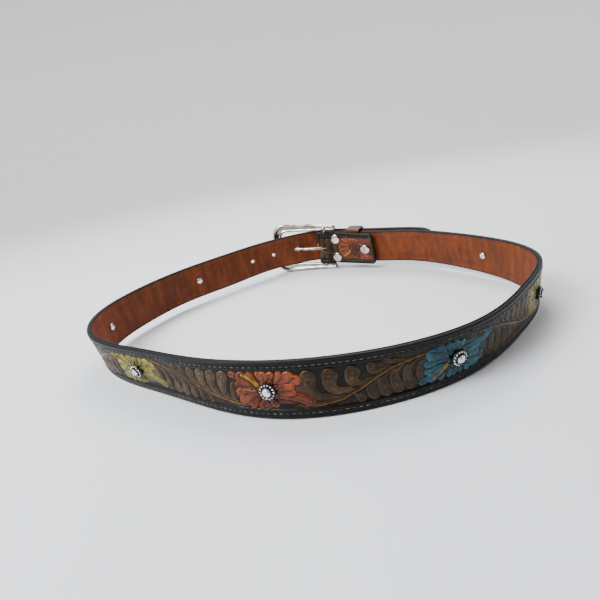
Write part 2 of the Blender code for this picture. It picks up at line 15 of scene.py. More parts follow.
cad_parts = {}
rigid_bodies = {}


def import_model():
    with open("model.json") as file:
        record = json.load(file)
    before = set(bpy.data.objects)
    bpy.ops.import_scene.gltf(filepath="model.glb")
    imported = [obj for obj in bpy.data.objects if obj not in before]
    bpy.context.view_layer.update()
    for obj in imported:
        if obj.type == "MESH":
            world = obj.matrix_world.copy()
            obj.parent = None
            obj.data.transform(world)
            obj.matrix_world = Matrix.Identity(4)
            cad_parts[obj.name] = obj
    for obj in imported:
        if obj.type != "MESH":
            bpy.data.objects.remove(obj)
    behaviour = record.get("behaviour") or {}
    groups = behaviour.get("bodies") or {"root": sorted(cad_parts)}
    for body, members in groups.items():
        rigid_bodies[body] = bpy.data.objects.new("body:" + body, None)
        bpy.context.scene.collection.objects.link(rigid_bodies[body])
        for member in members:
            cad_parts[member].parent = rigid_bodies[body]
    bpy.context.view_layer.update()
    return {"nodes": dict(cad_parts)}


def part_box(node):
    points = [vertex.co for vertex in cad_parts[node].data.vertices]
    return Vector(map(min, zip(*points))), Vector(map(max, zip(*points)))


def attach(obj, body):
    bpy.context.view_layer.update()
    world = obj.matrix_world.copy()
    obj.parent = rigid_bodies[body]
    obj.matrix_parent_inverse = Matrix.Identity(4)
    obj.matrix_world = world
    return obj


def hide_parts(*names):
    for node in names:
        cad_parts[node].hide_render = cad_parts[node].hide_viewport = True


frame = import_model()

# %% [markdown]
# ## The belt's route
# A real strap is carved flat and bent afterwards. The model goes the same way: everything on the leather
# is placed by its distance along the strap and its height across it, and the route turns that into a
# place on the standing loop. The route is a closed spline through a few guide points: bearing, reach and
# lean. Distances start at the heel bar of the buckle and go round by the right, the front and the left.

# %% Sizes and route
WIDTH = 0.03175
TOP_LEATHER, LINING, LAYER_GAP = 0.002, 0.001, 0.0003
LOOP_WIDTH, LOOP_DEPTH, BAR_BEARING = 0.318, 0.282, 78.0
GuidePoint = namedtuple("GuidePoint", "bearing_deg reach lean_deg")
ROUTE = [GuidePoint(*row) for row in (
    (0, 0.955, -5), (20, 0.89, -10), (40, 0.875, -11), (60, 0.87, -7), (80, 0.965, 1.8),
    (100, 0.975, -4.5), (120, 0.88, 4.5), (140, 0.905, 0), (160, 0.945, 2), (180, 1.000, 3),
    (200, 0.955, 10), (220, 0.875, 7.5), (240, 0.885, 3), (260, 0.965, -7.5), (280, 1.000, -0.5),
    (300, 1.01, 8), (320, 1.005, 5.5), (340, 1.03, 1.5))]
BAR_RADIUS, BAR_PLAY, FOLD_PLAY = 0.0018, 0.0007, 0.0012
STACK = TOP_LEATHER + LAYER_GAP + LINING
TOP_OFFSET = (STACK - TOP_LEATHER) / 2
LINING_OFFSET = -(STACK - LINING) / 2
LINING_FOLD = BAR_RADIUS + BAR_PLAY + LINING / 2
TOP_FOLD = LINING_FOLD + LINING / 2 + LAYER_GAP + TOP_LEATHER / 2
BAR_OFFSET = TOP_OFFSET - TOP_FOLD
FLAP, FLAP_START, FLAP_RUN, FLAP_CORNER = 0.057, 0.003, 0.0085, 0.003
DROP, DROP_RUN = 0.0012, 0.15
TAIL, TAIL_RISE, TAIL_TIP, TIP_WIDTH = 0.121, 0.042, 0.017, 0.003
KEEPER_WALL, KEEPER_SEAT, TAIL_GAP = 0.0014, 0.0006, 0.0015
TAIL_OFFSET = STACK + TAIL_GAP
FLAP_LINING = -STACK / 2 - KEEPER_WALL - 2 * KEEPER_SEAT - LINING / 2
FLAP_TOP = FLAP_LINING - LINING / 2 - LAYER_GAP - TOP_LEATHER / 2
Layer = namedtuple("Layer", "offset fold flap")
OUTER, MIDDLE = Layer(TOP_OFFSET, TOP_FOLD, FLAP_TOP), Layer(0, TOP_FOLD, FLAP_TOP)
INNER = Layer(LINING_OFFSET, LINING_FOLD, FLAP_LINING)


def guided(values, bearings):
    """A closed cubic through values at equal bearings."""
    count, values = len(values), np.array(values, float)
    matrix = 4 * np.eye(count) + np.roll(np.eye(count), 1, 0) + np.roll(np.eye(count), -1, 0)
    turn = np.linalg.solve(matrix, 6 * (np.roll(values, -1) - 2 * values + np.roll(values, 1)))
    place = (bearings % 360.0) / (360.0 / count)
    low = np.floor(place).astype(int) % count
    high, right = (low + 1) % count, place - np.floor(place)
    left = 1 - right
    return (left * values[low] + right * values[high]
            + ((left**3 - left) * turn[low] + (right**3 - right) * turn[high]) / 6)


bearings = BAR_BEARING - np.linspace(0, 360, 2881)
reach = guided([row.reach for row in ROUTE], bearings)
ROUTE_LEAN = np.radians(guided([row.lean_deg for row in ROUTE], bearings))
ROUTE_X = LOOP_WIDTH / 2 * reach * np.cos(np.radians(bearings))
ROUTE_Y = LOOP_DEPTH / 2 * reach * np.sin(np.radians(bearings))
ROUTE_PLACE = np.concatenate([[0], np.cumsum(np.hypot(np.diff(ROUTE_X), np.diff(ROUTE_Y)))])
ROUND = ROUTE_PLACE[-1]
END = ROUND + TAIL
print("once round, in mm:", round(1000 * ROUND, 1), "tip at", round(1000 * END, 1))

# %% [markdown]
# ## From a place on the strap to a place in the room
# Each station has a foot on the strap's lower edge, a direction out of the leather and one up the strap.
# The flap is the strap's end, folded round the bar and turned inwards, so its finished side faces inside.

# %% Stations


def smooth_step(value):
    value = np.clip(value, 0, 1)
    return value * value * (3 - 2 * value)


def route_points(places):
    places = np.asarray(places, float) % ROUND
    x, y = np.interp(places, ROUTE_PLACE, ROUTE_X), np.interp(places, ROUTE_PLACE, ROUTE_Y)
    return np.stack([x, y, 0 * x], -1)


def route_outward(places, reach=0.0021):
    """Level directions out of the loop, square to a short stretch of the route."""
    along = route_points(places + reach) - route_points(places - reach)
    outward = np.stack([-along[:, 1], along[:, 0], 0 * along[:, 0]], -1)
    return outward / np.linalg.norm(outward, axis=1)[:, None]


def loop_stations(places, offset, drop):
    """Feet, outward and upward directions, one row for each place."""
    places = np.atleast_1d(np.asarray(places, float))
    outward, rise = route_outward(places), np.array([0.0, 0.0, 1.0])
    lean = np.interp(places % ROUND, ROUTE_PLACE, ROUTE_LEAN)[:, None]
    out = outward * np.cos(lean) - rise * np.sin(lean)
    up = outward * np.sin(lean) + rise * np.cos(lean)
    lift = np.abs(np.sin(lean)) * STACK / 2 - np.reshape(drop, (-1, 1))
    return route_points(places) + out * np.reshape(offset, (-1, 1)) + rise * lift, out, up


def drop_at(places):
    """How far the strap sags towards the buckle."""
    return DROP * (1 - smooth_step(places / DROP_RUN))


def strap_stations(places, layer):
    """Any place from the flap's end, below zero, over the fold and round the loop to the tip."""
    places = np.atleast_1d(np.asarray(places, float))
    turn = pi * layer.fold
    tail = TAIL_OFFSET * smooth_step((places - ROUND + TAIL_RISE) / TAIL_RISE)
    foot, out, up = loop_stations(places, layer.offset + tail, drop_at(places))
    inside = places < -FOLD_PLAY - turn
    if inside.any():
        back = -(places[inside] + turn + 2 * FOLD_PLAY)
        shift = (layer.flap - BAR_OFFSET + layer.fold) * smooth_step((back - FLAP_START) / FLAP_RUN)
        low, far, high = loop_stations(back, BAR_OFFSET - layer.fold + shift, DROP)
        foot[inside], out[inside], up[inside] = low, -far, high
    bend = (places < -FOLD_PLAY) & ~inside
    if bend.any():
        bar, far, high = (row[0] for row in loop_stations(0, BAR_OFFSET, DROP))
        onward = np.cross(high, far)
        angle = pi + (places[bend, None] + FOLD_PLAY) / layer.fold
        side = -far * np.cos(angle) + onward * np.sin(angle)
        foot[bend], out[bend], up[bend] = bar + onward * FOLD_PLAY + side * layer.fold, side, high
    return foot, out, up


def middle_at(place):
    """The strap's middle at one place, with its directions out and up."""
    foot, out, up = (row[0] for row in strap_stations(place, MIDDLE))
    return foot + up * WIDTH / 2, out, up


FLAP_END = -(FLAP + pi * TOP_FOLD + 2 * FOLD_PLAY)
print("strap runs in mm from", round(1000 * FLAP_END, 1), "to", round(1000 * END, 1))

# %% [markdown]
# ## Standing the belt up
# The buckle is taller than the strap, so the loop leans forward until the front edge and the buckle's
# lower rail share one floor. The lean follows from the sizes, and the shift is read off the solid strap.

# %% Stand
SHOULDER, SHOULDER_WIDTH, RAIL, RAIL_THICK, SLOT_CORNER = 0.0125, 0.005, 0.0086, 0.0042, 0.006
FRAME_LENGTH, FRAME_TURN, BOW, BOW_ARC = 0.069, 8.0, 0.0052, 0.62
SLOT_PLAY, REST_CUT = 0.0016, 0.0003
SLOT_HALF = (WIDTH + DROP) / 2 + SLOT_PLAY
SLOT_MIDDLE = (WIDTH - DROP) / 2
SLOT_END = FRAME_LENGTH - SHOULDER - RAIL
SLOT_STRAIGHT = SLOT_END - SLOT_CORNER
FLARE = atan2(RAIL - SHOULDER_WIDTH, SLOT_STRAIGHT + SHOULDER)
FOOT = (SLOT_HALF + SHOULDER_WIDTH) * cos(FLARE) + SHOULDER * sin(FLARE) - REST_CUT

every = np.arange(0, ROUND, 0.0085)
front = -(route_points(every) + route_outward(every) * STACK / 2)[:, 1].min()
bar_foot = loop_stations(0, BAR_OFFSET, 0)[0][0] + np.array([0, 0, SLOT_MIDDLE])
depth = bar_foot[1] + front
LEAN = asin(FOOT / hypot(depth, SLOT_MIDDLE)) - atan2(SLOT_MIDDLE, depth)
TILT = np.array(Matrix.Rotation(LEAN, 3, "X"))

foot, out, up = strap_stations(np.arange(0, END, 0.0005), OUTER)
corners = np.concatenate([foot + out * TOP_LEATHER / 2 * side + up * WIDTH * high
                          for side in (-1, 1) for high in (0, 1)]) @ TILT.T
solid = [np.array(corner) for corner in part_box("strap")]
SHIFT = (solid[0] + solid[1]) / 2 - (corners.min(0) + corners.max(0)) / 2
SHIFT[2] = -(bar_foot @ TILT.T)[2] + FOOT + REST_CUT


def stand(points):
    """Points of the lying loop, brought to where the belt stands."""
    return np.asarray(points) @ TILT.T + SHIFT


print("lean in degrees:", round(degrees(LEAN), 2), "shift in mm:", np.round(1000 * SHIFT, 2))

# %% [markdown]
# ## Shader maths as expressions
# A small class wraps a node socket, so that a mask can be written as ordinary arithmetic. Colours go
# through Mix nodes, because a Math node would turn them grey.

# %% Shader expressions


class Socket:
    """A node output that Python's operators can work on."""

    def __init__(self, paint, output):
        self.paint, self.output = paint, output

    def maths(self, operation, other):
        return self.paint.node("ShaderNodeMath", {"operation": operation}, {0: self, 1: other})

    def __add__(self, other):
        return self.maths("ADD", other)

    def __mul__(self, other):
        return self.maths("MULTIPLY", other)

    __radd__, __rmul__ = __add__, __mul__

    def clamped(self, low, high):
        """0 below low and 1 above high, smooth between."""
        return self.paint.node("ShaderNodeMapRange", {"interpolation_type": "SMOOTHSTEP", "clamp": True},
                               {"Value": self, "From Min": low, "From Max": high})


class Paint:
    """One material, with its Principled shader and the nodes that feed it."""

    def __init__(self, name, **constants):
        self.material = bpy.data.materials.new(name)
        self.material.use_nodes = True
        self.tree = self.material.node_tree
        self.shader = self.tree.nodes["Principled BSDF"]
        for socket, value in constants.items():
            self.shader.inputs[socket.replace("_", " ")].default_value = value

    def node(self, kind, settings=None, inputs=None, output=0):
        made = self.tree.nodes.new(kind)
        for key, value in (settings or {}).items():
            setattr(made, key, value)
        for key, value in (inputs or {}).items():
            if isinstance(value, Socket):
                self.tree.links.new(value.output, made.inputs[key])
            elif value is not None:
                made.inputs[key].default_value = value
        return Socket(self, made.outputs[output])

    def place(self):
        return self.node("ShaderNodeTexCoord", output="Object")

    def attribute(self, output):
        return self.node("ShaderNodeAttribute", {"attribute_name": "dye"}, output=output)

    def noise(self, scale, detail, rough=0.5, vector=None):
        return self.node("ShaderNodeTexNoise", None, {
            "Vector": vector or self.place(), "Scale": scale, "Detail": detail, "Roughness": rough})

    def cells(self, scale):
        return self.node("ShaderNodeTexVoronoi", None, {"Vector": self.place(), "Scale": scale})

    def mix(self, share, first, second, blend="MIX"):
        """First colour where the share is 0, second where it is 1."""
        first, second = (tone if isinstance(tone, Socket) else (*tone, 1.0) for tone in (first, second))
        return self.node("ShaderNodeMix", {"data_type": "RGBA", "blend_type": blend},
                         {0: share, 6: first, 7: second}, 2)

    def tint(self, colour, share, dark, light):
        """A colour multiplied by one between dark and light."""
        return self.mix(1.0, colour, self.mix(share, dark, light), "MULTIPLY")

    def feed(self, name, value):
        self.tree.links.new(value.output, self.shader.inputs[name])

    def bump(self, height, distance, strength):
        self.feed("Normal", self.node("ShaderNodeBump", None, {
            "Height": height, "Distance": distance, "Strength": strength}))


print("shader helpers ready")

# %% [markdown]
# ## Carving, drawn as shapes
# On the real belt the pattern is cut with a swivel knife and bevelled with stamps: leaves stand up and
# the ground round them is pressed down and matted. Here each leaf and petal is a spine with a thickness.
# The distance to a spine gives its edge, so one function can dome the leaf, cut its inner lines and
# press the ground. The strap is drawn in millimetres: distance along it and height across it.

# %% Shapes of the carving
CONCHOS = (0.172, 0.264, 0.356, 0.455, 0.553, 0.653, 0.758)
HUES = ("orange", "yellow", "blue", "orange", "yellow", "blue", "orange")
FLAP_FLOWER = -(0.037 + pi * TOP_FOLD + 2 * FOLD_PLAY)
DYES = {
    "orange": (0.138, 0.026, 0.004), "yellow": (0.165, 0.155, 0.01), "blue": (0.004, 0.066, 0.105),
    "leaf": (0.053, 0.028, 0.006), "ground": (0.004, 0.0022, 0.0016), "border": (0.0035, 0.0034, 0.0038),
    "seed": (0.3, 0.19, 0.02), "lining": (0.138, 0.03, 0.0035), "flap_rim": (0.11, 0.05, 0.022)}
HALF = WIDTH * 500
BORDER = 5.2
Shape = namedtuple("Shape", "kind spines dye centre tone")
Leaf = namedtuple("Leaf", "base_p base_v bend_p bend_v head_p head_v size")

# Leaves of the two sprays, in mm from the left end and above the middle line, undermost first
FALLING = [Leaf(*row) for row in (
    (26, 1, 14, 6, 15.5, 8.9, 1.5), (33, -1.5, 19, 3, 22, 8.1, 2.3),
    (40, -4, 25.5, 0.5, 28.8, 7.6, 2.6), (46, -5.5, 32.5, -1.5, 36, 7.3, 2.8),
    (51, -6.8, 39.5, -3.5, 43.4, 7.1, 2.9), (56, -7.8, 47, -5, 50.8, 6.6, 3),
    (60, -8, 54.5, -6, 57.6, 1.4, 2.4), (35, -2.8, 41.5, -5.5, 40, -9.1, 1.5),
    (27, 0.5, 35.5, -3, 33.2, -8.3, 2.2), (20, 3.2, 29.5, -0.5, 26.6, -7.8, 2.6),
    (14, 5.5, 23, 1.5, 19.9, -7.5, 2.8), (7, 7.6, 16.5, 3.5, 13.2, -7.2, 2.8),
    (2, 8, 9.5, 5, 6.6, -6.9, 2.7), (-3, 7.5, 2, 5, 0.6, -5.6, 2.4))]
FALLING_STEM = ((-4, 9.6), (4, 8.4), (14, 5.7), (28, 0), (42, -5.2), (56, -8.6), (62, -9.6))
RISING = [Leaf(*row) for row in (
    (22, -4.5, -2, -9.5, 0.8, 5.6, 3.9), (28, -1.5, 8, -6.5, 11.8, 5.9, 3.6),
    (34, 1.5, 19, -2.5, 23.3, 6.2, 3.4), (42, 5, 30, 3.2, 32.6, 8.4, 1.8),
    (12, -8, 3, -10.5, -3.5, -7.6, 1.9), (24, -4.5, 24, -6, 26, -8.6, 2),
    (36, 2, 28, -1, 32.6, -7.7, 2.6), (42, 4.5, 34, 2, 38.9, -7.3, 2.8),
    (48, 6, 40.5, 3, 45.2, -7.1, 2.8), (55, 6.5, 47, 3, 51.7, -6.8, 3),
    (60, 5.5, 55, 1, 58, -4.4, 2.5), (52, 7, 45, 8.4, 40, 9.4, 1.1))]
RISING_STEM = ((-2, -9.4), (8, -9.2), (17, -7.4), (26, -3.4), (34, 1.2), (43, 5.4), (55, 7.8), (62, 8.4))
SPRAY_SPAN = 57.0

# Lobes of each petal: height and place of the three heads from the flower's middle, and their sizes
PETALS = (
    ((-14.8, 7.2, 3.2), (-9.6, 8.6, 2.2), (-17, 2.6, 2.3)),
    ((-14.6, -6.4, 3.4), (-16.8, -1.4, 2.4), (-9.4, -8.2, 2.5)),
    ((-1, -8, 2.6), (-5, -8.7, 1.9), (3, -7.8, 2)),
    ((11.5, 6.9, 3.5), (6.8, 8.7, 2.2), (15.8, 5.2, 2.8)),
    ((-1.8, 8.3, 2.4), (-4.9, 9, 1.8), (2.2, 8.6, 1.9)),
    ((11, 0.2, 2.8), (12.9, 2.2, 1.8), (13.2, -1.7, 1.9)))


def sampled(points, keys, steps):
    """The points of a line, read at other places along it."""
    return np.stack([np.interp(steps, keys, column) for column in np.array(points, float).T], 1)


def curve(start, control, end, first_size, last_size):
    """A bent spine: rows of place, height and half thickness."""
    t = np.linspace(0, 1, 9)[:, None]
    line = (1 - t)**2 * np.array(start) + 2 * t * (1 - t) * np.array(control) + t * t * np.array(end)
    return np.concatenate([line, first_size + (last_size - first_size) * t**1.6], 1)


def even_spine(line, size):
    return np.concatenate([line, np.full((len(line), 1), size)], 1)


def spray_shapes(start, rising, rng):
    """A diagonal stem with round-headed leaves on both sides, and the dark hollow they lie in."""
    leaves, knots = (RISING, RISING_STEM) if rising else (FALLING, FALLING_STEM)
    stem = sampled(knots, range(len(knots)), np.linspace(0, len(knots) - 1, 25))
    shapes = [Shape("bed", [even_spine(stem, 6.5)], "leaf", (0, 0), 0.3)]
    for leaf in leaves:
        spine = curve(leaf[:2], leaf[2:4], leaf[4:6], 1.5, 1.16 * leaf.size)
        shapes.append(Shape("leaf", [spine], "leaf", spine[-1], rng.uniform(0.75, 1.25)))
    spine = even_spine(stem, 0.85)
    shapes.append(Shape("stem", [spine], "leaf", spine[12], 1.1))
    for shape in shapes:
        shape.spines[0][:, 0] = start - shape.spines[0][:, 0]
    return shapes


def flower_shapes(centre, hue, rng, flipped=False, bed=0.3):
    """A hollow, long leaves, scalloped petals, a ring of small petals and a row of seeds."""
    side = -1 if flipped else 1
    reach = 12.0 if bed > 0.5 else 8.0
    shapes = [Shape("bed", [np.array([(-14.0, 0.0, reach), (14.0, 0.0, reach)])], hue, (0, 0), bed)]
    for row in (((4, -3), (13, -2), (21.5, -6.8), 2, 2.9), ((-8, 2), (-16, 7), (-20.6, 8.4), 2, 1.9)):
        spine = curve(*row)
        shapes.append(Shape("leaf", [spine], hue, spine[-1], rng.uniform(0.9, 1.1)))
    for heads in PETALS:
        middle = np.mean(heads, 0) * (0.62, 0.62, 0) + (0, 0, 3.4)
        spines = [np.array([(0.0, 0.0, 1.6), middle, head]) for head in heads[1:] + heads[:1]]
        shapes.append(Shape("petal", spines, hue, np.zeros(2), rng.uniform(0.85, 1.15)))
    for number in range(7):
        angle = 2 * pi * (number + 0.4) / 7
        spine = np.array([(0.0, 0.0, 1.0), (4.7 * cos(angle), 4.7 * sin(angle), 1.7)])
        shapes.append(Shape("petal", [spine], hue, np.zeros(2), 1.0))
    spine = curve((-14.2, 8.3), (-11.0, 7.4), (-6.2, 2.8), 0.9, 1.25)
    shapes.append(Shape("seed", [spine], "seed", spine[4], 0.9))
    return [shape._replace(spines=[spine * (-1, side, 1) + (centre, 0, 0) for spine in shape.spines],
                           centre=(centre - shape.centre[0], side * shape.centre[1])) for shape in shapes]


def belt_shapes():
    """The whole belt's carving: a flower at each concho and a spray between, the two kinds in turn."""
    rng = np.random.default_rng(7)
    centres = [1000 * place for place in CONCHOS]
    shapes = []
    for number, (right, left) in enumerate(zip(centres, centres[1:])):
        shapes += spray_shapes((left + right) / 2 + SPRAY_SPAN / 2, number % 2 == 0, rng)
    shapes += spray_shapes(centres[0] - 20, False, rng)
    shapes += spray_shapes(centres[0] - 78, True, rng)
    shapes += spray_shapes(centres[-1] + 21 + SPRAY_SPAN, False, rng)
    begin = centres[-1] + 22 + 2 * SPRAY_SPAN
    while begin - SPRAY_SPAN < 1000 * END - 20:
        shapes += spray_shapes(begin, int(begin) % 2 == 0, rng)
        begin += SPRAY_SPAN + 1
    shapes += spray_shapes(1000 * FLAP_FLOWER + 17 + SPRAY_SPAN, False, rng)
    for number, (centre, hue) in enumerate(zip(centres, HUES)):
        shapes += flower_shapes(centre, hue, rng, number % 3 == 2)
    return shapes + flower_shapes(1000 * FLAP_FLOWER, "orange", rng, True, 0.8)


CARVING = belt_shapes()
print("carved shapes:", len(CARVING))

# %% [markdown]
# ## From shapes to relief and dye
# For a patch of the strap this returns the depth of the carving below the surface and the colour of each
# point: its dye, with painted highlights along the raised rims of the shapes and on the border's bead.
# Later shapes lie on earlier ones, and each presses a dark line round itself, as a beveller does.

# %% Relief


def spine_distance(place, height, spine):
    """Distance from each point to the edge of one spine, negative inside it."""
    best = np.full(np.broadcast(place, height).shape, 99.0)
    for (ap, av, ar), (bp, bv, br) in zip(spine[:-1], spine[1:]):
        dx, dy = bp - ap, bv - av
        share = np.clip(((place - ap) * dx + (height - av) * dy) / (dx * dx + dy * dy), 0, 1)
        best = np.minimum(best, np.hypot(place - ap - share * dx, height - av - share * dy)
                          - (ar + (br - ar) * share))
    return best


def groove(distance, at, width):
    return np.exp(-((distance - at) / width)**2)


def lay_shape(shape, place, height, depth, dye):
    """One leaf, stem, petal or seed row, laid over what is there."""
    edge = spine_distance(place, height, shape.spines[0])
    for spine in shape.spines[1:]:
        edge = np.minimum(edge, spine_distance(place, height, spine))
    inside, colour = edge < 0, np.array(DYES[shape.dye])
    away = np.hypot(place - shape.centre[0], height - shape.centre[1])
    body = -0.62 + 0.5 * smooth_step(-edge / 0.8) + 0.1 * smooth_step(-edge / 2.4)
    tone = np.full(edge.shape, shape.tone)
    if shape.kind == "bed":
        body, tone = -0.55 + 0 * edge, shape.tone * smooth_step(-edge / 1.2)
    if shape.kind == "leaf":
        size = shape.spines[0][-1, 2]
        cut = np.maximum(groove(-edge, 0.95, 0.24), 0.8 * groove(-edge, 1.9, 0.2))
        cut = np.maximum(cut, groove(away, size * 0.38, 0.26))
        body, tone = body - 0.26 * cut, tone * (1 - 0.82 * cut)
    if shape.kind == "petal":
        angle = np.arctan2(height - shape.centre[1], place - shape.centre[0])
        reach = smooth_step((away - 5.2) / 1.5) * smooth_step((-edge - 0.5) / 1.0)
        ribs = (0.5 + 0.5 * np.cos(17 * angle + 0.25 * away))**5 * reach
        body = body - 0.3 * ribs
        tone = tone * (0.42 + 0.78 * smooth_step((away - 4) / 9)) * (1 - 0.75 * ribs)
    if shape.kind == "seed":
        beads = np.abs(np.sin(1.9 * (place - height)))
        body, tone = body - 0.25 * (1 - beads), tone * (0.25 + 0.75 * beads)
    # Each shape is darker right at its cut outline, and the band just inside that outline is lightened: a
    # painted highlight along the raised rim.
    if shape.kind != "bed":
        tone = tone * (0.22 + 0.78 * smooth_step(-edge / 0.4)) * (1 + 0.85 * groove(-edge, 0.5, 0.24))
    depth[inside] = body[inside]
    dye[inside] = (colour * tone[..., None])[inside]
    if shape.kind == "bed":
        return
    rim = (edge >= 0) & (edge < 0.55)
    press = 0.34 * (1 - edge / 0.55)
    depth[rim] = np.maximum(depth - press, -0.9)[rim]
    dye[rim] *= (0.15 + 0.85 * edge / 0.55)[rim][:, None]


def tooling(places, heights):
    """Depth in mm and dye, with painted highlights, for a patch: places along in m, heights from the middle
    in mm.
    """
    place, height = 1000 * places[:, None], heights[None, :] * np.ones((len(places), 1))
    depth, dye = np.full(height.shape, -0.68), np.tile(DYES["ground"], (*height.shape, 1))
    dye *= (0.7 + 0.6 * np.sin(place * 7.3 + 5 * np.sin(height * 5.1))[..., None]**2)
    depth += 0.05 * np.sin(place * 5.3) * np.sin(height * 5.7)
    for shape in CARVING:
        ends = np.concatenate([spine[:, 0] for spine in shape.spines])
        rows = np.flatnonzero((place[:, 0] > ends.min() - 6) & (place[:, 0] < ends.max() + 6))
        if len(rows):
            window = slice(rows[0], rows[-1] + 1)
            lay_shape(shape, place[window], height[window], depth[window], dye[window])
    from_edge = np.minimum(HALF - np.abs(height), 1000 * (END - places)[:, None])
    from_edge = np.minimum(from_edge, 1000 * (places - FLAP_END)[:, None])
    width = BORDER - 2.1 * smooth_step((-place - 6) / 6)
    plain = smooth_step((place + 9) / 1.5) * smooth_step((24 - place) / 1.5)
    field = smooth_step((from_edge - width) / 0.45) * (1 - plain)
    bead = groove(from_edge, 4.35, 0.45)
    depth = depth * field - 0.16 * groove(from_edge, 3.0, 0.5) - 0.28 * groove(from_edge, width, 0.4)
    depth += 0.1 * bead - 0.12 * groove(from_edge, 1.55, 0.22)
    rim = groove(place - 1000 * FLAP_END, 2.2, 0.45) * smooth_step(from_edge - 1.0)
    # The border is lightened along its raised bead: a painted highlight where that ridge catches the light.
    border = np.array(DYES["border"]) * (1 + 1.2 * bead)[..., None]
    border = border + np.array(DYES["flap_rim"]) * rim[..., None]
    return depth, dye * field[..., None] + border * (1 - field[..., None])


sample = tooling(np.array([0.455, 0.46]), np.linspace(-HALF, HALF, 9))[0]
print("depth at a flower, in mm, from", round(sample.min(), 2), "to", round(sample.max(), 2))

# %% [markdown]
# ## Primitives, moved and mended
# Every piece starts as one of Blender's primitives. Its points are moved to where they belong, and mesh
# operators then merge, fill and turn it the right way out.

# %% Mesh helpers
MERGE = (bpy.ops.mesh.remove_doubles, {"threshold": 0.000002})
NORMALS = (bpy.ops.mesh.normals_make_consistent, {"inside": False})


def activate(piece):
    bpy.ops.object.select_all(action="DESELECT")
    piece.select_set(True)
    bpy.context.view_layer.objects.active = piece


def added(operator, name, **settings):
    """A new primitive, light or camera under its own name."""
    operator(**settings)
    piece = bpy.context.object
    piece.name = piece.data.name = name
    activate(piece)
    return piece


def edit(piece, *steps):
    """Mesh operators with their settings, each run on the whole piece."""
    activate(piece)
    bpy.ops.object.mode_set(mode="EDIT")
    for operator, settings in steps:
        bpy.ops.mesh.select_all(action="SELECT")
        operator(**settings)
    bpy.ops.object.mode_set(mode="OBJECT")


def points_of(piece):
    return np.array([vertex.co for vertex in piece.data.vertices])


def move_points(piece, points):
    piece.data.vertices.foreach_set("co", np.asarray(points).reshape(-1).astype(np.float32))


def remove(*pieces):
    for piece in pieces:
        bpy.data.objects.remove(piece, do_unlink=True)


def join(name, pieces):
    activate(pieces[0])
    for piece in pieces:
        piece.select_set(True)
    bpy.ops.object.join()
    pieces[0].name = pieces[0].data.name = name
    return pieces[0]


def cut(piece, cutter, solver):
    """The cutter's shape is taken out of the piece, and the cutter removed."""
    taken = piece.modifiers.new("cut", "BOOLEAN")
    taken.object, taken.solver = cutter, solver
    activate(piece)
    bpy.ops.object.modifier_apply(modifier="cut")
    remove(cutter)


print("mesh helpers ready")

# %% [markdown]
# ## Leather from a grid
# A strap is a flat grid first: one way along the belt, the other way once round its section. The grid's
# points then take their places on the standing loop, the seam is merged and the two ends are closed.
# The relief goes in as real shape. The strap is cut into lengths, so that each stays a mesh of fair size.

# %% Strap and lining
COLUMN, LINING_COLUMN, TIP_STRETCH, EDGE_STEPS = 0.00042, 0.0009, 0.002, 5


def rounded_end(distance, run, depth):
    share = 1 - np.clip(distance / run, 0, 1)
    return depth * (1 - np.sqrt(np.clip(1 - share * share, 0, 1)))


def edge_inset(places, start, end):
    """How far each edge draws in at the flap's corners and at the pointed tip."""
    return (rounded_end(places - start, FLAP_CORNER, FLAP_CORNER)
            + rounded_end(end - places, TAIL_TIP, (WIDTH - TIP_WIDTH) / 2))


def fill_open_ends():
    bpy.ops.mesh.select_all(action="DESELECT")
    bpy.ops.mesh.select_mode(type="EDGE")
    bpy.ops.mesh.select_non_manifold(extend=False, use_wire=False, use_multi_face=False,
                                     use_non_contiguous=False, use_verts=False)
    bpy.ops.mesh.fill_holes(sides=0)


def wrap_grid(name, points, dye=None, ring=False, smooth=62):
    """A primitive grid, closed into a tube of the given points, its ends filled, or met in a ring."""
    if ring:
        points = np.concatenate([points, points[:1]])
    columns, around = points.shape[:2]
    piece = added(bpy.ops.mesh.primitive_grid_add, name, x_subdivisions=around, y_subdivisions=columns - 1,
                  size=1)
    move_points(piece, np.concatenate([points, points[:, :1]], 1))
    # The dye attribute holds each point's colour, with the painted highlights of the carving where it has
    # them.
    if dye is not None:
        layer = piece.data.attributes.new("dye", "FLOAT_COLOR", "POINT")
        shades = np.concatenate([dye, dye[:, :1]], 1)
        shades = np.concatenate([shades, np.clip(shades.max(2, keepdims=True) * 30 - 0.2, 0, 1)], 2)
        layer.data.foreach_set("color", shades.reshape(-1).astype(np.float32))
    edit(piece, MERGE, (fill_open_ends, {}), NORMALS)
    bpy.ops.object.shade_smooth_by_angle(angle=radians(smooth))
    return piece


def leather_section(face, half, round_off):
    """Across and up for one turn of the section: plain side, top edge, pressed face and lower edge."""
    angles = np.linspace(0, pi, EDGE_STEPS + 2)[1:-1]
    top = [(-half * cos(a), HALF / 1000 - round_off * (1 - sin(a))) for a in angles]
    bottom = [(across, -rise) for across, rise in reversed(top)]
    inner = [(-half, rise) for rise in np.linspace(-HALF / 1000 + round_off, HALF / 1000 - round_off, 7)]
    outer = [(half, rise) for rise in face[::-1]]
    return np.array(inner + top + outer + bottom), len(inner) + len(top)


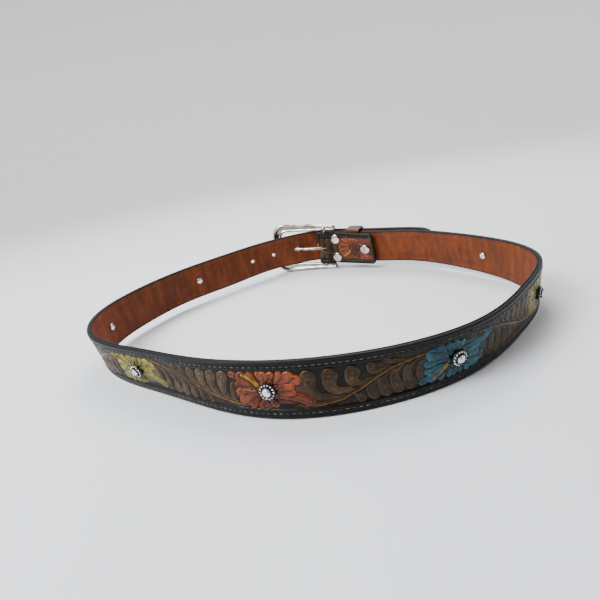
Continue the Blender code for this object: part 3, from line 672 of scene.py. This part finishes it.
def leather(name, places, ends, layer, half, edge, columns):
    """A length of one layer: its section carried along the strap, one face carved, or pressed through."""
    face = np.linspace(-WIDTH / 2 + edge, WIDTH / 2 - edge, columns)
    section, first = leather_section(face, half, edge)
    pressed = slice(first, first + columns)
    share = 1 - 2 * edge_inset(places, *ends) / WIDTH
    rise = WIDTH / 2 + section[:, 1] * share[:, None]
    across = np.tile(section[:, 0], (len(places), 1))
    border, dye = np.array(DYES["border"]), np.tile(DYES["border"], (*across.shape, 1))
    relief, dye[:, pressed] = tooling(places, 1000 * face[::-1])
    if layer is INNER:
        mark = np.clip(1 + 0.35 * (relief + 0.3), 0.86, 1.1)[..., None]
        body = smooth_step((HALF - 0.7 - np.abs(1000 * face[::-1])) / 0.8)[None, :, None]
        dye[:, pressed] = np.array(DYES["lining"]) * mark * body + border * (1 - body)
        across[:, pressed] -= 0.001 * np.clip(0.12 * (relief + 0.35), -0.06, 0.06)
    else:
        across[:, pressed] += 0.001 * relief * np.clip(share, 0, 1)[:, None]
    foot, out, up = strap_stations(places, layer)
    points = foot[:, None] + out[:, None] * across[..., None] + up[:, None] * rise[..., None]
    return wrap_grid(name, stand(points), dye)


def strap_length(number, start, end):
    """One length of the tooled strap, with closer columns where the tip rounds off."""
    places = np.linspace(start, end, int((end - start) / COLUMN) + 1)
    if end == END:
        tip = END - TIP_STRETCH * (1 - np.linspace(0, 1, 24))**2 - 2e-5
        places = np.concatenate([places[places < END - TIP_STRETCH], tip])
    layer = OUTER._replace(offset=TOP_OFFSET - LAYER_GAP / 2)
    half = (TOP_LEATHER + LAYER_GAP) / 2
    return leather(f"tooled_strap_{number}", places, (FLAP_END, END), layer, half, 0.0005, 84)


CUTS = (FLAP_END, 0.122, 0.31, 0.504, 0.7, END)
straps = [strap_length(number, *ends) for number, ends in enumerate(zip(CUTS, CUTS[1:]), 1)]
print("strap faces:", [len(piece.data.polygons) for piece in straps])

ends = FLAP_END + pi * (TOP_FOLD - LINING_FOLD) + 0.0004, END - 0.0003
places = np.linspace(*ends, int((ends[1] - ends[0]) / LINING_COLUMN) + 1)
lining = leather("lining_leather", places, ends, INNER, -LINING / 2, 0.0004, 44)
print("lining faces:", len(lining.data.polygons))

# %% [markdown]
# ## Round pieces
# Screws, rivets and settings are turned: a half profile is spun once round its axis, and the piece is
# then seated on the leather. A round wire is a tube swept along its middle line.

# %% Turned pieces and tubes


def turned(name, profile, steps=48):
    """A half profile in mm, as reach and height, spun once about Z."""
    piece = added(bpy.ops.mesh.primitive_circle_add, name, vertices=len(profile), radius=1)
    move_points(piece, [(reach / 1000, 0, height / 1000) for reach, height in profile])
    spin = {"steps": steps, "angle": 2 * pi, "center": (0, 0, 0), "axis": (0, 0, 1)}
    edit(piece, (bpy.ops.mesh.spin, spin), MERGE, (bpy.ops.mesh.delete_loose, {"use_faces": False}),
         (bpy.ops.mesh.dissolve_degenerate, {"threshold": 0.000001}), NORMALS)
    bpy.ops.object.shade_smooth_by_angle(angle=radians(35))
    return piece


def seat_matrix(centre, direction, up):
    """A place on the lying loop: Z along the direction, Y near the strap's up."""
    centre = stand(centre)
    z_axis = TILT @ direction / np.linalg.norm(direction)
    y_axis = TILT @ up
    y_axis = y_axis - z_axis * (y_axis @ z_axis)
    y_axis = y_axis / np.linalg.norm(y_axis)
    matrix = np.eye(4)
    matrix[:3] = np.stack([np.cross(y_axis, z_axis), y_axis, z_axis, centre], 1)
    return Matrix(matrix.tolist())


def seated(piece, name, matrix):
    """A copy with its own mesh, its points moved so that the object stays at the origin."""
    copy = piece.copy()
    copy.data = piece.data.copy()
    copy.name = copy.data.name = name
    bpy.context.collection.objects.link(copy)
    copy.data.transform(matrix)
    return copy


def distances(points):
    """How far along a line each of its points lies."""
    return np.concatenate([[0], np.cumsum(np.linalg.norm(np.diff(points, axis=0), axis=1))])


def tube(name, points, widths, sides):
    """A round wire along a line of points, from a primitive grid."""
    along = np.gradient(points, axis=0)
    along /= np.linalg.norm(along, axis=1)[:, None]
    side = np.cross(along, (0.0, 1.0, 0.0))
    side /= np.linalg.norm(side, axis=1)[:, None]
    other = np.cross(along, side)
    turn = np.linspace(0, 2 * pi, sides, endpoint=False)[:, None]
    around = side[:, None] * np.cos(turn) + other[:, None] * np.sin(turn)
    return wrap_grid(name, points[:, None] + widths[:, None, None] * around)


print("turning and sweeping ready")

# %% [markdown]
# ## The buckle's own frame of reference
# X runs from the heel bar to the far bar, Y up and Z outwards. The rails flare apart, so the lower one
# can lie level on the floor.

# %% Buckle
BOSS_RADIUS, BOSS_OUT, INWARD = 0.0024, 0.0013, 0.0011
WIRE, PRONG_REACH, PRONG_RUN, CLEAR = 0.0016, 0.0335, 0.007, 0.0003
USED_HOLE = ROUND - PRONG_REACH


def buckle_axes():
    upright = np.array([0, sin(LEAN), cos(LEAN)])
    out = route_outward(np.zeros(1))[0]
    turn = radians(FRAME_TURN)
    back = np.array([-out[1] * cos(turn) - out[0] * sin(turn),
                     -out[1] * sin(turn) + out[0] * cos(turn), 0])
    z_axis = np.cross(back, upright)
    z_axis /= np.linalg.norm(z_axis)
    level = np.cross(upright, z_axis)
    x_axis = level * cos(FLARE) + upright * sin(FLARE)
    return np.stack([x_axis, np.cross(z_axis, x_axis), z_axis], 1)


BUCKLE = buckle_axes()


def to_buckle(points):
    return (np.asarray(points) - bar_foot) @ BUCKLE


def from_buckle(points):
    return stand(bar_foot + np.asarray(points) @ BUCKLE.T)


def bow_at(place):
    bulge, at_bar = (np.sin(pi * BOW_ARC * np.clip((reach + SHOULDER) / FRAME_LENGTH, 0, 1))
                     for reach in (np.asarray(place, float), np.zeros(1)))
    return BOW * (bulge - at_bar)


def rail_profile(width, count=72):
    """Across and through for one turn: a fat outer roll, a groove and a thinner inner roll."""
    outer, inner = RAIL_THICK / 2, RAIL_THICK * 0.34
    outer_middle, inner_middle = width - outer, inner
    turn = np.linspace(0, 2 * pi, count, endpoint=False)
    reach = width / 2 + width / 2 * np.cos(turn)
    fat = np.sqrt(np.clip(outer**2 - (reach - outer_middle)**2, 0, None))
    thin = np.sqrt(np.clip(inner**2 - (reach - inner_middle)**2, 0, None))
    web = RAIL_THICK * 0.2 * ((reach > inner_middle) & (reach < outer_middle))
    through = np.maximum(np.maximum(fat, thin), web) * np.where(turn < pi, 1, -1)
    return reach, through


def frame_outline():
    """The slot's edge from the upper shoulder round the far bar to the lower one, with rail widths."""
    rows = []
    for share in np.concatenate([np.linspace(0, 0.05, 12), np.linspace(0.06, 0.99, 54)]):
        full = 0.42 + 0.58 * sin(pi / 2 * min(share / 0.05, 1))
        width = SHOULDER_WIDTH + (RAIL - SHOULDER_WIDTH) * share
        rows.append(((SLOT_STRAIGHT + SHOULDER) * share - SHOULDER, SLOT_HALF, 0, 1, width, full))
    for angle in np.linspace(pi / 2, 0, 22):
        across, rise = cos(angle), sin(angle)
        rows.append((SLOT_STRAIGHT + SLOT_CORNER * across, SLOT_HALF - SLOT_CORNER * (1 - rise),
                     across, rise, RAIL, 1))
    for share in np.linspace(0.94, 0, 16):
        rows.append((SLOT_END, share * (SLOT_HALF - SLOT_CORNER), 1, 0, RAIL, 1))
    upper = np.array(rows)
    return np.concatenate([upper, upper[-2::-1] * (1, -1, 1, -1, 1, 1)])


def bar_tube():
    heights = np.linspace(-1, 1, 30)[:, None] * (SLOT_HALF + SHOULDER_WIDTH * 0.5)
    turn = np.linspace(0, 2 * pi, 28, endpoint=False)
    rings = np.broadcast_arrays(BAR_RADIUS * np.cos(turn), heights, BAR_RADIUS * np.sin(turn))
    return wrap_grid("heel_bar", from_buckle(np.stack(rings, -1)))


def make_rails():
    rings = []
    for x, y, across, rise, width, full in frame_outline():
        reach, through = rail_profile(width + INWARD)
        reach = width / 2 + (reach - INWARD - width / 2) * full
        place = x + across * reach
        rings.append(np.stack([place, y + rise * reach, bow_at(place) + through * full], 1))
    return wrap_grid("buckle_rails", from_buckle(np.array(rings)))


def boss(height):
    """The swell where the heel bar meets a shoulder."""
    piece = added(bpy.ops.mesh.primitive_uv_sphere_add, "boss", radius=BOSS_RADIUS)
    move_points(piece, from_buckle(points_of(piece) * (1.15, 0.9, 1.0) + (0, height, 0)))
    bpy.ops.object.shade_smooth()
    return piece


def prong_line():
    """Round the heel bar, inside the tail, through the used hole and onto the far bar."""
    ring = BAR_RADIUS + CLEAR + WIRE
    hole = to_buckle(middle_at(USED_HOLE)[0])
    place = SLOT_END + RAIL / 2
    height = float(bow_at(place)[0]) + RAIL_THICK / 2 + WIRE + CLEAR
    slope = hole[1] / hole[0]
    rest = np.array([place, slope * place, height])
    way = (rest - hole) / np.linalg.norm(rest - hole)
    before = hole - way * PRONG_RUN
    angles = np.radians(np.arange(60, -91, -15))
    points = [(-ring * cos(angle), 0, ring * sin(angle)) for angle in angles]
    points += [(before[0] * 0.45, slope * before[0] * 0.45, -ring),
               (before[0] * 0.8, slope * before[0] * 0.8, (before[2] - ring) / 2), before, hole, rest]
    end = place + RAIL * 0.45
    points.append((end, slope * end, height + float(bow_at(end)[0] - bow_at(place)[0])))
    return np.array(points), way


rails = make_rails()
heel_bar = join("heel_bar_and_bosses", [bar_tube(), boss(SLOT_HALF + BOSS_OUT), boss(-SLOT_HALF - BOSS_OUT)])
print("buckle faces:", len(rails.data.polygons), len(heel_bar.data.polygons))
knots, prong_way = prong_line()
lengths = distances(knots)
even = np.linspace(0, lengths[-1], 110)
to_end = np.minimum(np.clip((even[-1] - even) / 0.0012, 0, 1), np.clip(even / 0.0008, 0, 1))
eye = 1 + 0.13 * (1 - smooth_step((even - 0.006) / 0.004))
widths = WIRE * eye * (0.35 + 0.65 * np.sqrt(1 - (1 - to_end)**2))
prong = tube("prong_wire", sampled(knots, lengths, even), widths, 26)
move_points(prong, from_buckle(points_of(prong)))
print("prong length in mm:", round(1000 * lengths[-1], 1))

# %% [markdown]
# ## Keeper, screws, rivets and conchos
# The keeper is a plain band. Three post screws hold the flap shut: domed heads with a slot inside, plain
# caps outside. A concho is a dark ring with a crown of silver beads, a bezel and a cut stone, riveted
# through to a domed cap on the lining.

# %% Keeper
KEEPER_PLACE, KEEPER_REACH, KEEPER_PLAY = 0.0345, 0.008, 0.0006


def rounded_box(grow):
    """The section's outline, across and up, a little or a wall's thickness outside strap and tail."""
    radius = 0.0016 if grow else 0.0004
    inset = radius - grow
    left, right = -STACK / 2 - KEEPER_SEAT + inset, TAIL_OFFSET + STACK / 2 + KEEPER_SEAT - inset
    bottom, top = -DROP - KEEPER_PLAY + inset, WIDTH + KEEPER_PLAY - inset
    rows = [(x + radius * cos(angle), z + radius * sin(angle))
            for x, z, first in ((right, top, 0), (left, top, 90), (left, bottom, 180), (right, bottom, 270))
            for angle in np.radians(np.linspace(first, first + 90, 9))]
    rows.append(rows[0])
    steps = distances(rows)
    return sampled(rows, steps, np.linspace(0, steps[-1], 181)[:-1])


def keeper_band():
    """The band round strap and tail: its outer face, a little thinner at both rims, and its inner one."""
    inner, outer = rounded_box(0.0), rounded_box(KEEPER_WALL)
    shares = np.linspace(-1, 1, 25)
    full = 0.45 * np.sqrt(np.clip(1 - np.abs(shares)**9, 0, 1)) + 0.55
    rings = [(share, inner + (outer - inner) * wall) for share, wall in zip(shares, full)]
    points = []
    for share, section in rings + [(share, inner) for share in shares[::-1]]:
        foot, out, up = (row[0] for row in loop_stations(KEEPER_PLACE + KEEPER_REACH * share, 0, 0))
        points.append(foot + out * section[:, :1] + up * section[:, 1:])
    return np.array(points).transpose(1, 0, 2)


keeper = wrap_grid("keeper_band", stand(keeper_band()), ring=True, smooth=45)
print("keeper faces:", len(keeper.data.polygons))

# %% [markdown]
# ## Turned, cut and copied
# A screw's head is turned and its slot cut out. A concho is a dark ring and bezel under a crown of beads.
# Each is made once, and its copies are seated where the belt has one.

# %% Screws, rivets and conchos
SCREWS = ((0.015, 0.6, 25), (0.015, -0.6, -40), (0.0485, 0.0, 70))
HEAD_GAP, CAP_GAP, RIVET_GAP = 0.0007, 0.0004, 0.0004
SLOT_SIZE, SLOT_RISE = (0.0078, 0.0011, 0.0013), 0.0013
BEAD_RADIUS, BEAD_COUNT, BEAD_PLACE = 0.00052, 14, (0.0037, 0, 0.00118)

# Half profiles in mm, from the tip round to the axis again: reach and height
HEAD_PROFILE = (
    (0, 1.3), (2.6, 1.25), (3.8, 1.05), (4.4, 0.8), (4.7, 0.45), (4.75, 0.15), (4.6, 0), (2.1, 0),
    (2.1, -1.0), (0, -1.0))
RING_PROFILE = (
    (0, 0.6), (2.7, 0.6), (2.7, 1.0), (3.1, 1.1), (3.6, 1.0), (4.2, 0.8), (4.4, 0.4), (4.3, 0), (0, 0))
BEZEL_PROFILE = ((2.7, 0.6), (2.7, 2.1), (2.9, 2.3), (3.1, 2.1), (3.1, 0.6))


def dome(radius, height, count, lip=0.2):
    """A domed cap's profile in mm."""
    turns = np.linspace(0, pi / 2, count)
    rows = [(radius * sin(turn), lip + (height - lip) * cos(turn)) for turn in turns]
    return rows + [(radius * 0.98, 0), (0, 0)]


def screw_seat(place, share):
    """The middle of flap and strap at a screw, and half of what it holds together."""
    inner, outer = FLAP_TOP - TOP_LEATHER / 2, STACK / 2
    foot, out, up = (row[0] for row in loop_stations(place, (inner + outer) / 2, drop_at(place)))
    return foot + up * WIDTH / 2 * (1 + share), out, up, (outer - inner) / 2


head, cap = turned("screw_head", HEAD_PROFILE), turned("screw_cap", dome(4.5, 0.5, 6))
slot_cutter = added(bpy.ops.mesh.primitive_cube_add, "slot", size=1)
move_points(slot_cutter, points_of(slot_cutter) * SLOT_SIZE + (0, 0, SLOT_RISE))
cut(head, slot_cutter, "EXACT")
screws = []
for number, (place, share, turn_deg) in enumerate(SCREWS, 1):
    centre, out, up, half = screw_seat(place, share)
    inside = seat_matrix(centre - out * (half + HEAD_GAP), -out, up)
    screws.append(join(f"screw_{number}", [
        seated(head, "head_copy", inside @ Matrix.Rotation(radians(turn_deg), 4, "Z")),
        seated(cap, "cap_copy", seat_matrix(centre + out * (half + CAP_GAP), out, up))]))

rivet, ring = turned("rivet", dome(2.9, 1.4, 10)), turned("concho_ring", RING_PROFILE, 64)
bezel = turned("concho_bezel", BEZEL_PROFILE)
bead = added(bpy.ops.mesh.primitive_uv_sphere_add, "bead", segments=16, ring_count=10, radius=BEAD_RADIUS)
bead.data.transform(Matrix.Translation(BEAD_PLACE))
bpy.ops.object.shade_smooth()
turns = [Matrix.Rotation(2 * pi * number / BEAD_COUNT, 4, "Z") for number in range(BEAD_COUNT)]
beads = join("concho_beads", [seated(bead, "bead_copy", turn) for turn in turns])
rings, crowns, rivets = [], [], []
for number, place in enumerate(CONCHOS, 1):
    centre, out, up = middle_at(place)
    front, back = (seat_matrix(centre + way * (STACK / 2 + RIVET_GAP), way, up) for way in (out, -out))
    rings.append(join(f"concho_ring_{number}", [seated(ring, "ring", front), seated(bezel, "bezel", front)]))
    crowns.append(seated(beads, f"concho_silver_{number}", front))
    rivets.append(seated(rivet, f"rivet_{number}", back))
remove(head, cap, rivet, ring, bezel, bead, beads)
print("conchos:", len(rings), "faces in one crown:", len(crowns[0].data.polygons))

# %% [markdown]
# ## Holes
# Each hole is cut through both layers by a cylinder. The used one is wider and follows the prong's slant.

# %% Holes
HOLE_PITCH = 0.0254

for number in range(-2, 3):
    middle, out, up = middle_at(USED_HOLE + number * HOLE_PITCH)
    way, radius, length = (out, 0.0016, 0.009) if number else (BUCKLE @ prong_way, 0.0019, 0.018)
    for piece in (straps[-1], lining):
        before = len(piece.data.polygons)
        drill = added(bpy.ops.mesh.primitive_cylinder_add, "drill", vertices=40, radius=radius, depth=length)
        drill.data.transform(seat_matrix(middle, way, up))
        cut(piece, drill, "MANIFOLD")
        assert len(piece.data.polygons) != before, "a hole cut nothing"
print("holes cut, strap end faces:", len(straps[-1].data.polygons))

# %% [markdown]
# ## Stitches
# A stitch is one short thread lying in the groove: one is modelled, and every other one is a copy of its
# points at the next place along the strap, turned a little at random.

# %% Stitches
PITCH, FROM_EDGE, THREAD = 0.0034, 0.003, (0.00125, 0.00034, 0.00034)


def stitches(name, places, side, layer, rise):
    """Two rows of threads on one face, one near each edge, as one mesh."""
    seed = added(bpy.ops.mesh.primitive_uv_sphere_add, "thread", segments=8, ring_count=5, radius=1)
    base, faces = points_of(seed) * THREAD, [list(face.vertices) for face in seed.data.polygons]
    remove(seed)
    foot, out, up = strap_stations(places, layer)
    along = np.cross(up, out)
    skew = np.random.default_rng(len(places)).uniform(-0.1, 0.1, len(places))[:, None]
    threads = base @ np.stack([along + up * skew, up - along * skew, out], 1)
    points = np.concatenate([(foot + up * height + out * (side * rise))[:, None] + threads
                             for height in (FROM_EDGE, WIDTH - FROM_EDGE)])
    mesh = bpy.data.meshes.new(name)
    mesh.from_pydata(stand(points.reshape(-1, 3)).tolist(), [], [
        [corner + len(base) * number for corner in face] for number in range(len(points)) for face in faces])
    piece = bpy.data.objects.new(name, mesh)
    bpy.context.collection.objects.link(piece)
    edit(piece, NORMALS)
    bpy.ops.object.shade_smooth()
    return piece


outer_places = np.arange(FLAP_END + 0.004, END - TAIL_TIP - 0.001, PITCH)
inner_places = np.arange(FLAP_END + 0.006, END - TAIL_TIP - 0.002, PITCH)
inner_places = inner_places[(inner_places < -0.012) | (inner_places > 0.003)]
outer_stitches = stitches("outer_stitches", outer_places, 1, OUTER, TOP_LEATHER / 2 + 0.00004)
inner_stitches = stitches("inner_stitches", inner_places, -1, INNER, LINING / 2 + 0.00002)
print("stitches:", 2 * len(outer_places), "outside and", 2 * len(inner_places), "inside")

# %% [markdown]
# ## Materials
# Antiqued leather is dark where the dye settles and glossy on the raised, burnished parts. The relief and
# the dye come from the carving itself, and that dye carries painted highlights on the raised rims and on
# the border's bead; noise adds grain, mottling and wear.

# %% Leather materials


def leather_top():
    paint = Paint("tooled_leather_finish", Coat_Roughness=0.22, Specular_IOR_Level=0.16)
    grain, mottle, pores = paint.noise(900.0, 4), paint.noise(60.0, 4, 0.6), paint.cells(1500.0)
    # The dye attribute brings the carving's colours, painted highlights on raised rims and the border's bead
    # included.
    colour = paint.tint(paint.attribute("Color"), mottle.clamped(0.3, 0.72), (0.62, 0.58, 0.55),
                        (1.32, 1.25, 1.12))
    residue = paint.noise(420.0, 3, 0.6).clamped(0.34, 0.6)
    paint.feed("Base Color", paint.tint(colour, residue, (0.55, 0.5, 0.48), (1.16, 1.14, 1.12)))
    paint.feed("Roughness", 0.3 + 0.2 * grain + 0.1 * mottle)
    paint.feed("Coat Weight", 0.05 + 0.3 * paint.attribute("Alpha") * mottle.clamped(0.25, 0.6))
    paint.bump(0.6 * grain + 0.4 * pores, 0.0001, 0.55)
    return paint.material


def leather_inside():
    paint = Paint("lining_finish", Specular_IOR_Level=0.25)
    streaks = paint.node("ShaderNodeMapping", None, {"Vector": paint.place(), "Scale": (1.0, 1.0, 0.18)})
    streak, mottle = paint.noise(170.0, 4, 0.6, streaks), paint.noise(38.0, 5, 0.65)
    grain, pores = paint.noise(1300.0, 4), paint.cells(1900.0)
    colour = paint.tint(paint.attribute("Color"), streak.clamped(0.34, 0.68), (0.74, 0.7, 0.66),
                        (1.22, 1.16, 1.08))
    paint.feed("Base Color", paint.tint(colour, mottle.clamped(0.3, 0.7), (0.8, 0.76, 0.72),
                                        (1.2, 1.14, 1.08)))
    paint.feed("Roughness", 0.46 + 0.2 * grain + 0.08 * mottle)
    paint.bump(0.7 * grain + 0.5 * pores, 0.00008, 0.5)
    return paint.material


def leather_keeper():
    paint = Paint("keeper_finish", Coat_Roughness=0.22, Specular_IOR_Level=0.4)
    mottle, grain = paint.noise(120.0, 4, 0.6), paint.noise(1100.0, 4)
    paint.feed("Base Color", paint.mix(mottle.clamped(0.32, 0.7), (0.032, 0.008, 0.002),
                                       (0.115, 0.031, 0.007)))
    paint.feed("Roughness", 0.3 + 0.25 * grain)
    paint.feed("Coat Weight", 0.15 * mottle.clamped(0.3, 0.6))
    paint.bump(0.8 * grain + 0.2 * mottle, 0.00008, 0.5)
    return paint.material


def thread(name, dark, light):
    paint = Paint(name)
    twist, tone = paint.noise(2600.0, 2), paint.noise(210.0, 3)
    paint.feed("Base Color", paint.mix(tone.clamped(0.35, 0.66), dark, light))
    paint.feed("Roughness", 0.55 + 0.25 * twist)
    paint.bump(twist, 0.00006, 0.6)
    return paint.material


# %% [markdown]
# ## Metal and crystal
# The metals differ in tone, roughness and grain. The stones keep their own cut solids and only get a
# bright, clear-coated surface.

# %% Metal and crystal materials


def metal(name, dark, light, rough, coarse):
    paint = Paint(name, Metallic=1.0)
    fine, broad = paint.noise(coarse, 4, 0.6), paint.noise(coarse / 9, 3)
    paint.feed("Base Color", paint.mix(broad.clamped(0.3, 0.65), dark, light))
    paint.feed("Roughness", rough + 0.14 * fine)
    paint.bump(fine + 0.6 * broad, 0.00002, 0.35)
    return paint.material


def crystal():
    paint = Paint("crystal_finish", Metallic=0.6, IOR=1.55, Coat_Weight=1.0, Coat_Roughness=0.01)
    glint, spark = paint.cells(520.0), paint.noise(800.0, 2)
    paint.feed("Base Color", paint.mix(glint.clamped(0.1, 0.55), (0.98, 0.99, 1.0), (0.62, 0.7, 0.78)))
    paint.feed("Roughness", 0.02 + 0.05 * spark)
    return paint.material


tooled, inside = leather_top(), leather_inside()
strap_thread = thread("outer_thread", (0.006, 0.005, 0.005), (0.09, 0.07, 0.055))
lining_thread = thread("inner_thread", (0.04, 0.013, 0.006), (0.11, 0.045, 0.02))
bright = metal("buckle_silver", (0.17, 0.15, 0.13), (0.6, 0.56, 0.49), 0.09, 700.0)
steel = metal("screw_steel_finish", (0.3, 0.28, 0.25), (0.72, 0.69, 0.64), 0.16, 900.0)
silver = metal("bead_silver", (0.75, 0.73, 0.7), (0.97, 0.96, 0.94), 0.12, 1200.0)
dark_silver = metal("antique_silver", (0.01, 0.01, 0.011), (0.07, 0.068, 0.066), 0.3, 900.0)
nickel = metal("rivet_nickel", (0.45, 0.44, 0.42), (0.9, 0.88, 0.85), 0.16, 800.0)
stone = crystal()
print("materials:", len(bpy.data.materials))

# %% [markdown]
# ## Dressing the solids
# Each visible piece rides with the belt's one body, replaces its plain solid and takes its material slot.

# %% Dress the pieces


def dress(piece, material, node):
    piece.data.materials.clear()
    piece.data.materials.append(material)
    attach(piece, "root")
    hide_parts(node)


for piece in straps:
    dress(piece, tooled, "strap")
dress(outer_stitches, strap_thread, "strap")
dress(lining, inside, "lining")
dress(inner_stitches, lining_thread, "lining")
dress(keeper, leather_keeper(), "keeper")
dress(rails, bright, "buckle_frame")
dress(heel_bar, bright, "buckle_frame")
dress(prong, bright, "prong")
for number, piece in enumerate(screws, 1):
    dress(piece, steel, f"post_screw_{number}")
for number, (ring, crown, rivet) in enumerate(zip(rings, crowns, rivets), 1):
    dress(ring, dark_silver, f"concho_{number}")
    dress(crown, silver, f"concho_{number}")
    dress(rivet, nickel, f"rivet_back_{number}")
    for slot in frame["nodes"][f"crystal_{number}"].material_slots:
        slot.material = stone
print("dressed")

# %% [markdown]
# ## Floor and light
# A plain pale floor, drawn up behind in a wide curve, and soft studio light, brightest from the left, as
# the bluish sheen on that side of the real belt shows. A dark card darkens what the glossy leather mirrors.

# %% Floor and light


def plain(piece, name, rough, scale, dark, light):
    """An even, dull surface on a piece of the stage."""
    paint = Paint(name, Roughness=rough)
    paint.feed("Base Color", paint.mix(paint.noise(scale, 2), (dark,) * 3, (light,) * 3))
    piece.data.materials.append(paint.material)


def area_light(name, place, power, size, colour):
    light = added(bpy.ops.object.light_add, name, type="AREA", location=place)
    light.data.shape = "SQUARE"
    light.data.size, light.data.energy, light.data.color = size, power, colour
    light.rotation_euler = (Vector((0, 0, 0.02)) - Vector(place)).to_track_quat("-Z", "Y").to_euler()


floor = added(bpy.ops.mesh.primitive_plane_add, "floor", size=9, location=(0, -1.5, 0))
edit(floor, (bpy.ops.mesh.select_all, {"action": "DESELECT"}))
for edge in floor.data.edges:
    edge.select = all(floor.data.vertices[corner].co.y > 0 for corner in edge.vertices)
bpy.ops.object.mode_set(mode="EDIT")
bpy.ops.mesh.select_mode(type="EDGE")
bpy.ops.mesh.extrude_region_move(TRANSFORM_OT_translate={"value": (0, 0, 5)})
bpy.ops.object.mode_set(mode="OBJECT")
bend = floor.modifiers.new("cove", "BEVEL")
bend.width, bend.segments, bend.limit_method = 1.4, 16, "ANGLE"
bpy.ops.object.modifier_apply(modifier="cove")
bpy.ops.object.shade_smooth()
plain(floor, "floor_finish", 0.6, 3.0, 0.86, 0.88)
card = added(bpy.ops.mesh.primitive_plane_add, "dark_card", size=2.2, location=(0.25, -1.25, 0.95),
             rotation=(radians(80), 0, 0))
card.visible_camera = False
plain(card, "card_finish", 0.9, 4.0, 0.02, 0.03)

world = bpy.data.worlds.new("studio")
bpy.context.scene.world = world
world.use_nodes = True
world.node_tree.nodes["Background"].inputs["Color"].default_value = (0.92, 0.95, 1.0, 1)
world.node_tree.nodes["Background"].inputs["Strength"].default_value = 0.78
sun = added(bpy.ops.object.light_add, "soft_sun", type="SUN",
            rotation=(radians(38), 0, radians(-62)))
sun.data.energy, sun.data.angle = 1.8, radians(40)
area_light("key_left", (-0.8, -0.35, 0.8), 16, 0.55, (0.86, 0.92, 1.0))
area_light("top_back", (0.1, 0.6, 1.00), 9, 0.6, (1.0, 1.0, 1.0))
print("lights:", sum(item.type == "LIGHT" for item in bpy.data.objects))

# %% [markdown]
# ## Camera
# The camera stands where the photograph's did: in front, raised and a little turned. It was fitted to the
# lying loop, so it is tilted and shifted with the belt.

# %% Camera
PITCH_DOWN, ROLL, LENS = radians(20.975), radians(-10.672), 27.06
CAMERA_PLACE = (-0.006367, -0.331324, 0.138163)
axes = Matrix.Rotation(pi / 2 - PITCH_DOWN, 3, "X") @ Matrix.Rotation(ROLL, 3, "Z")
view = np.eye(4)
view[:3, :3], view[:3, 3] = TILT @ np.array(axes), stand(CAMERA_PLACE)
camera = added(bpy.ops.object.camera_add, "camera")
camera.matrix_world = Matrix(view.tolist())
camera.data.lens, camera.data.sensor_width = LENS, 36
camera.data.clip_start = 0.01
camera.data.dof.use_dof = False
bpy.context.scene.camera = camera
print("camera at", [round(value, 3) for value in camera.location])
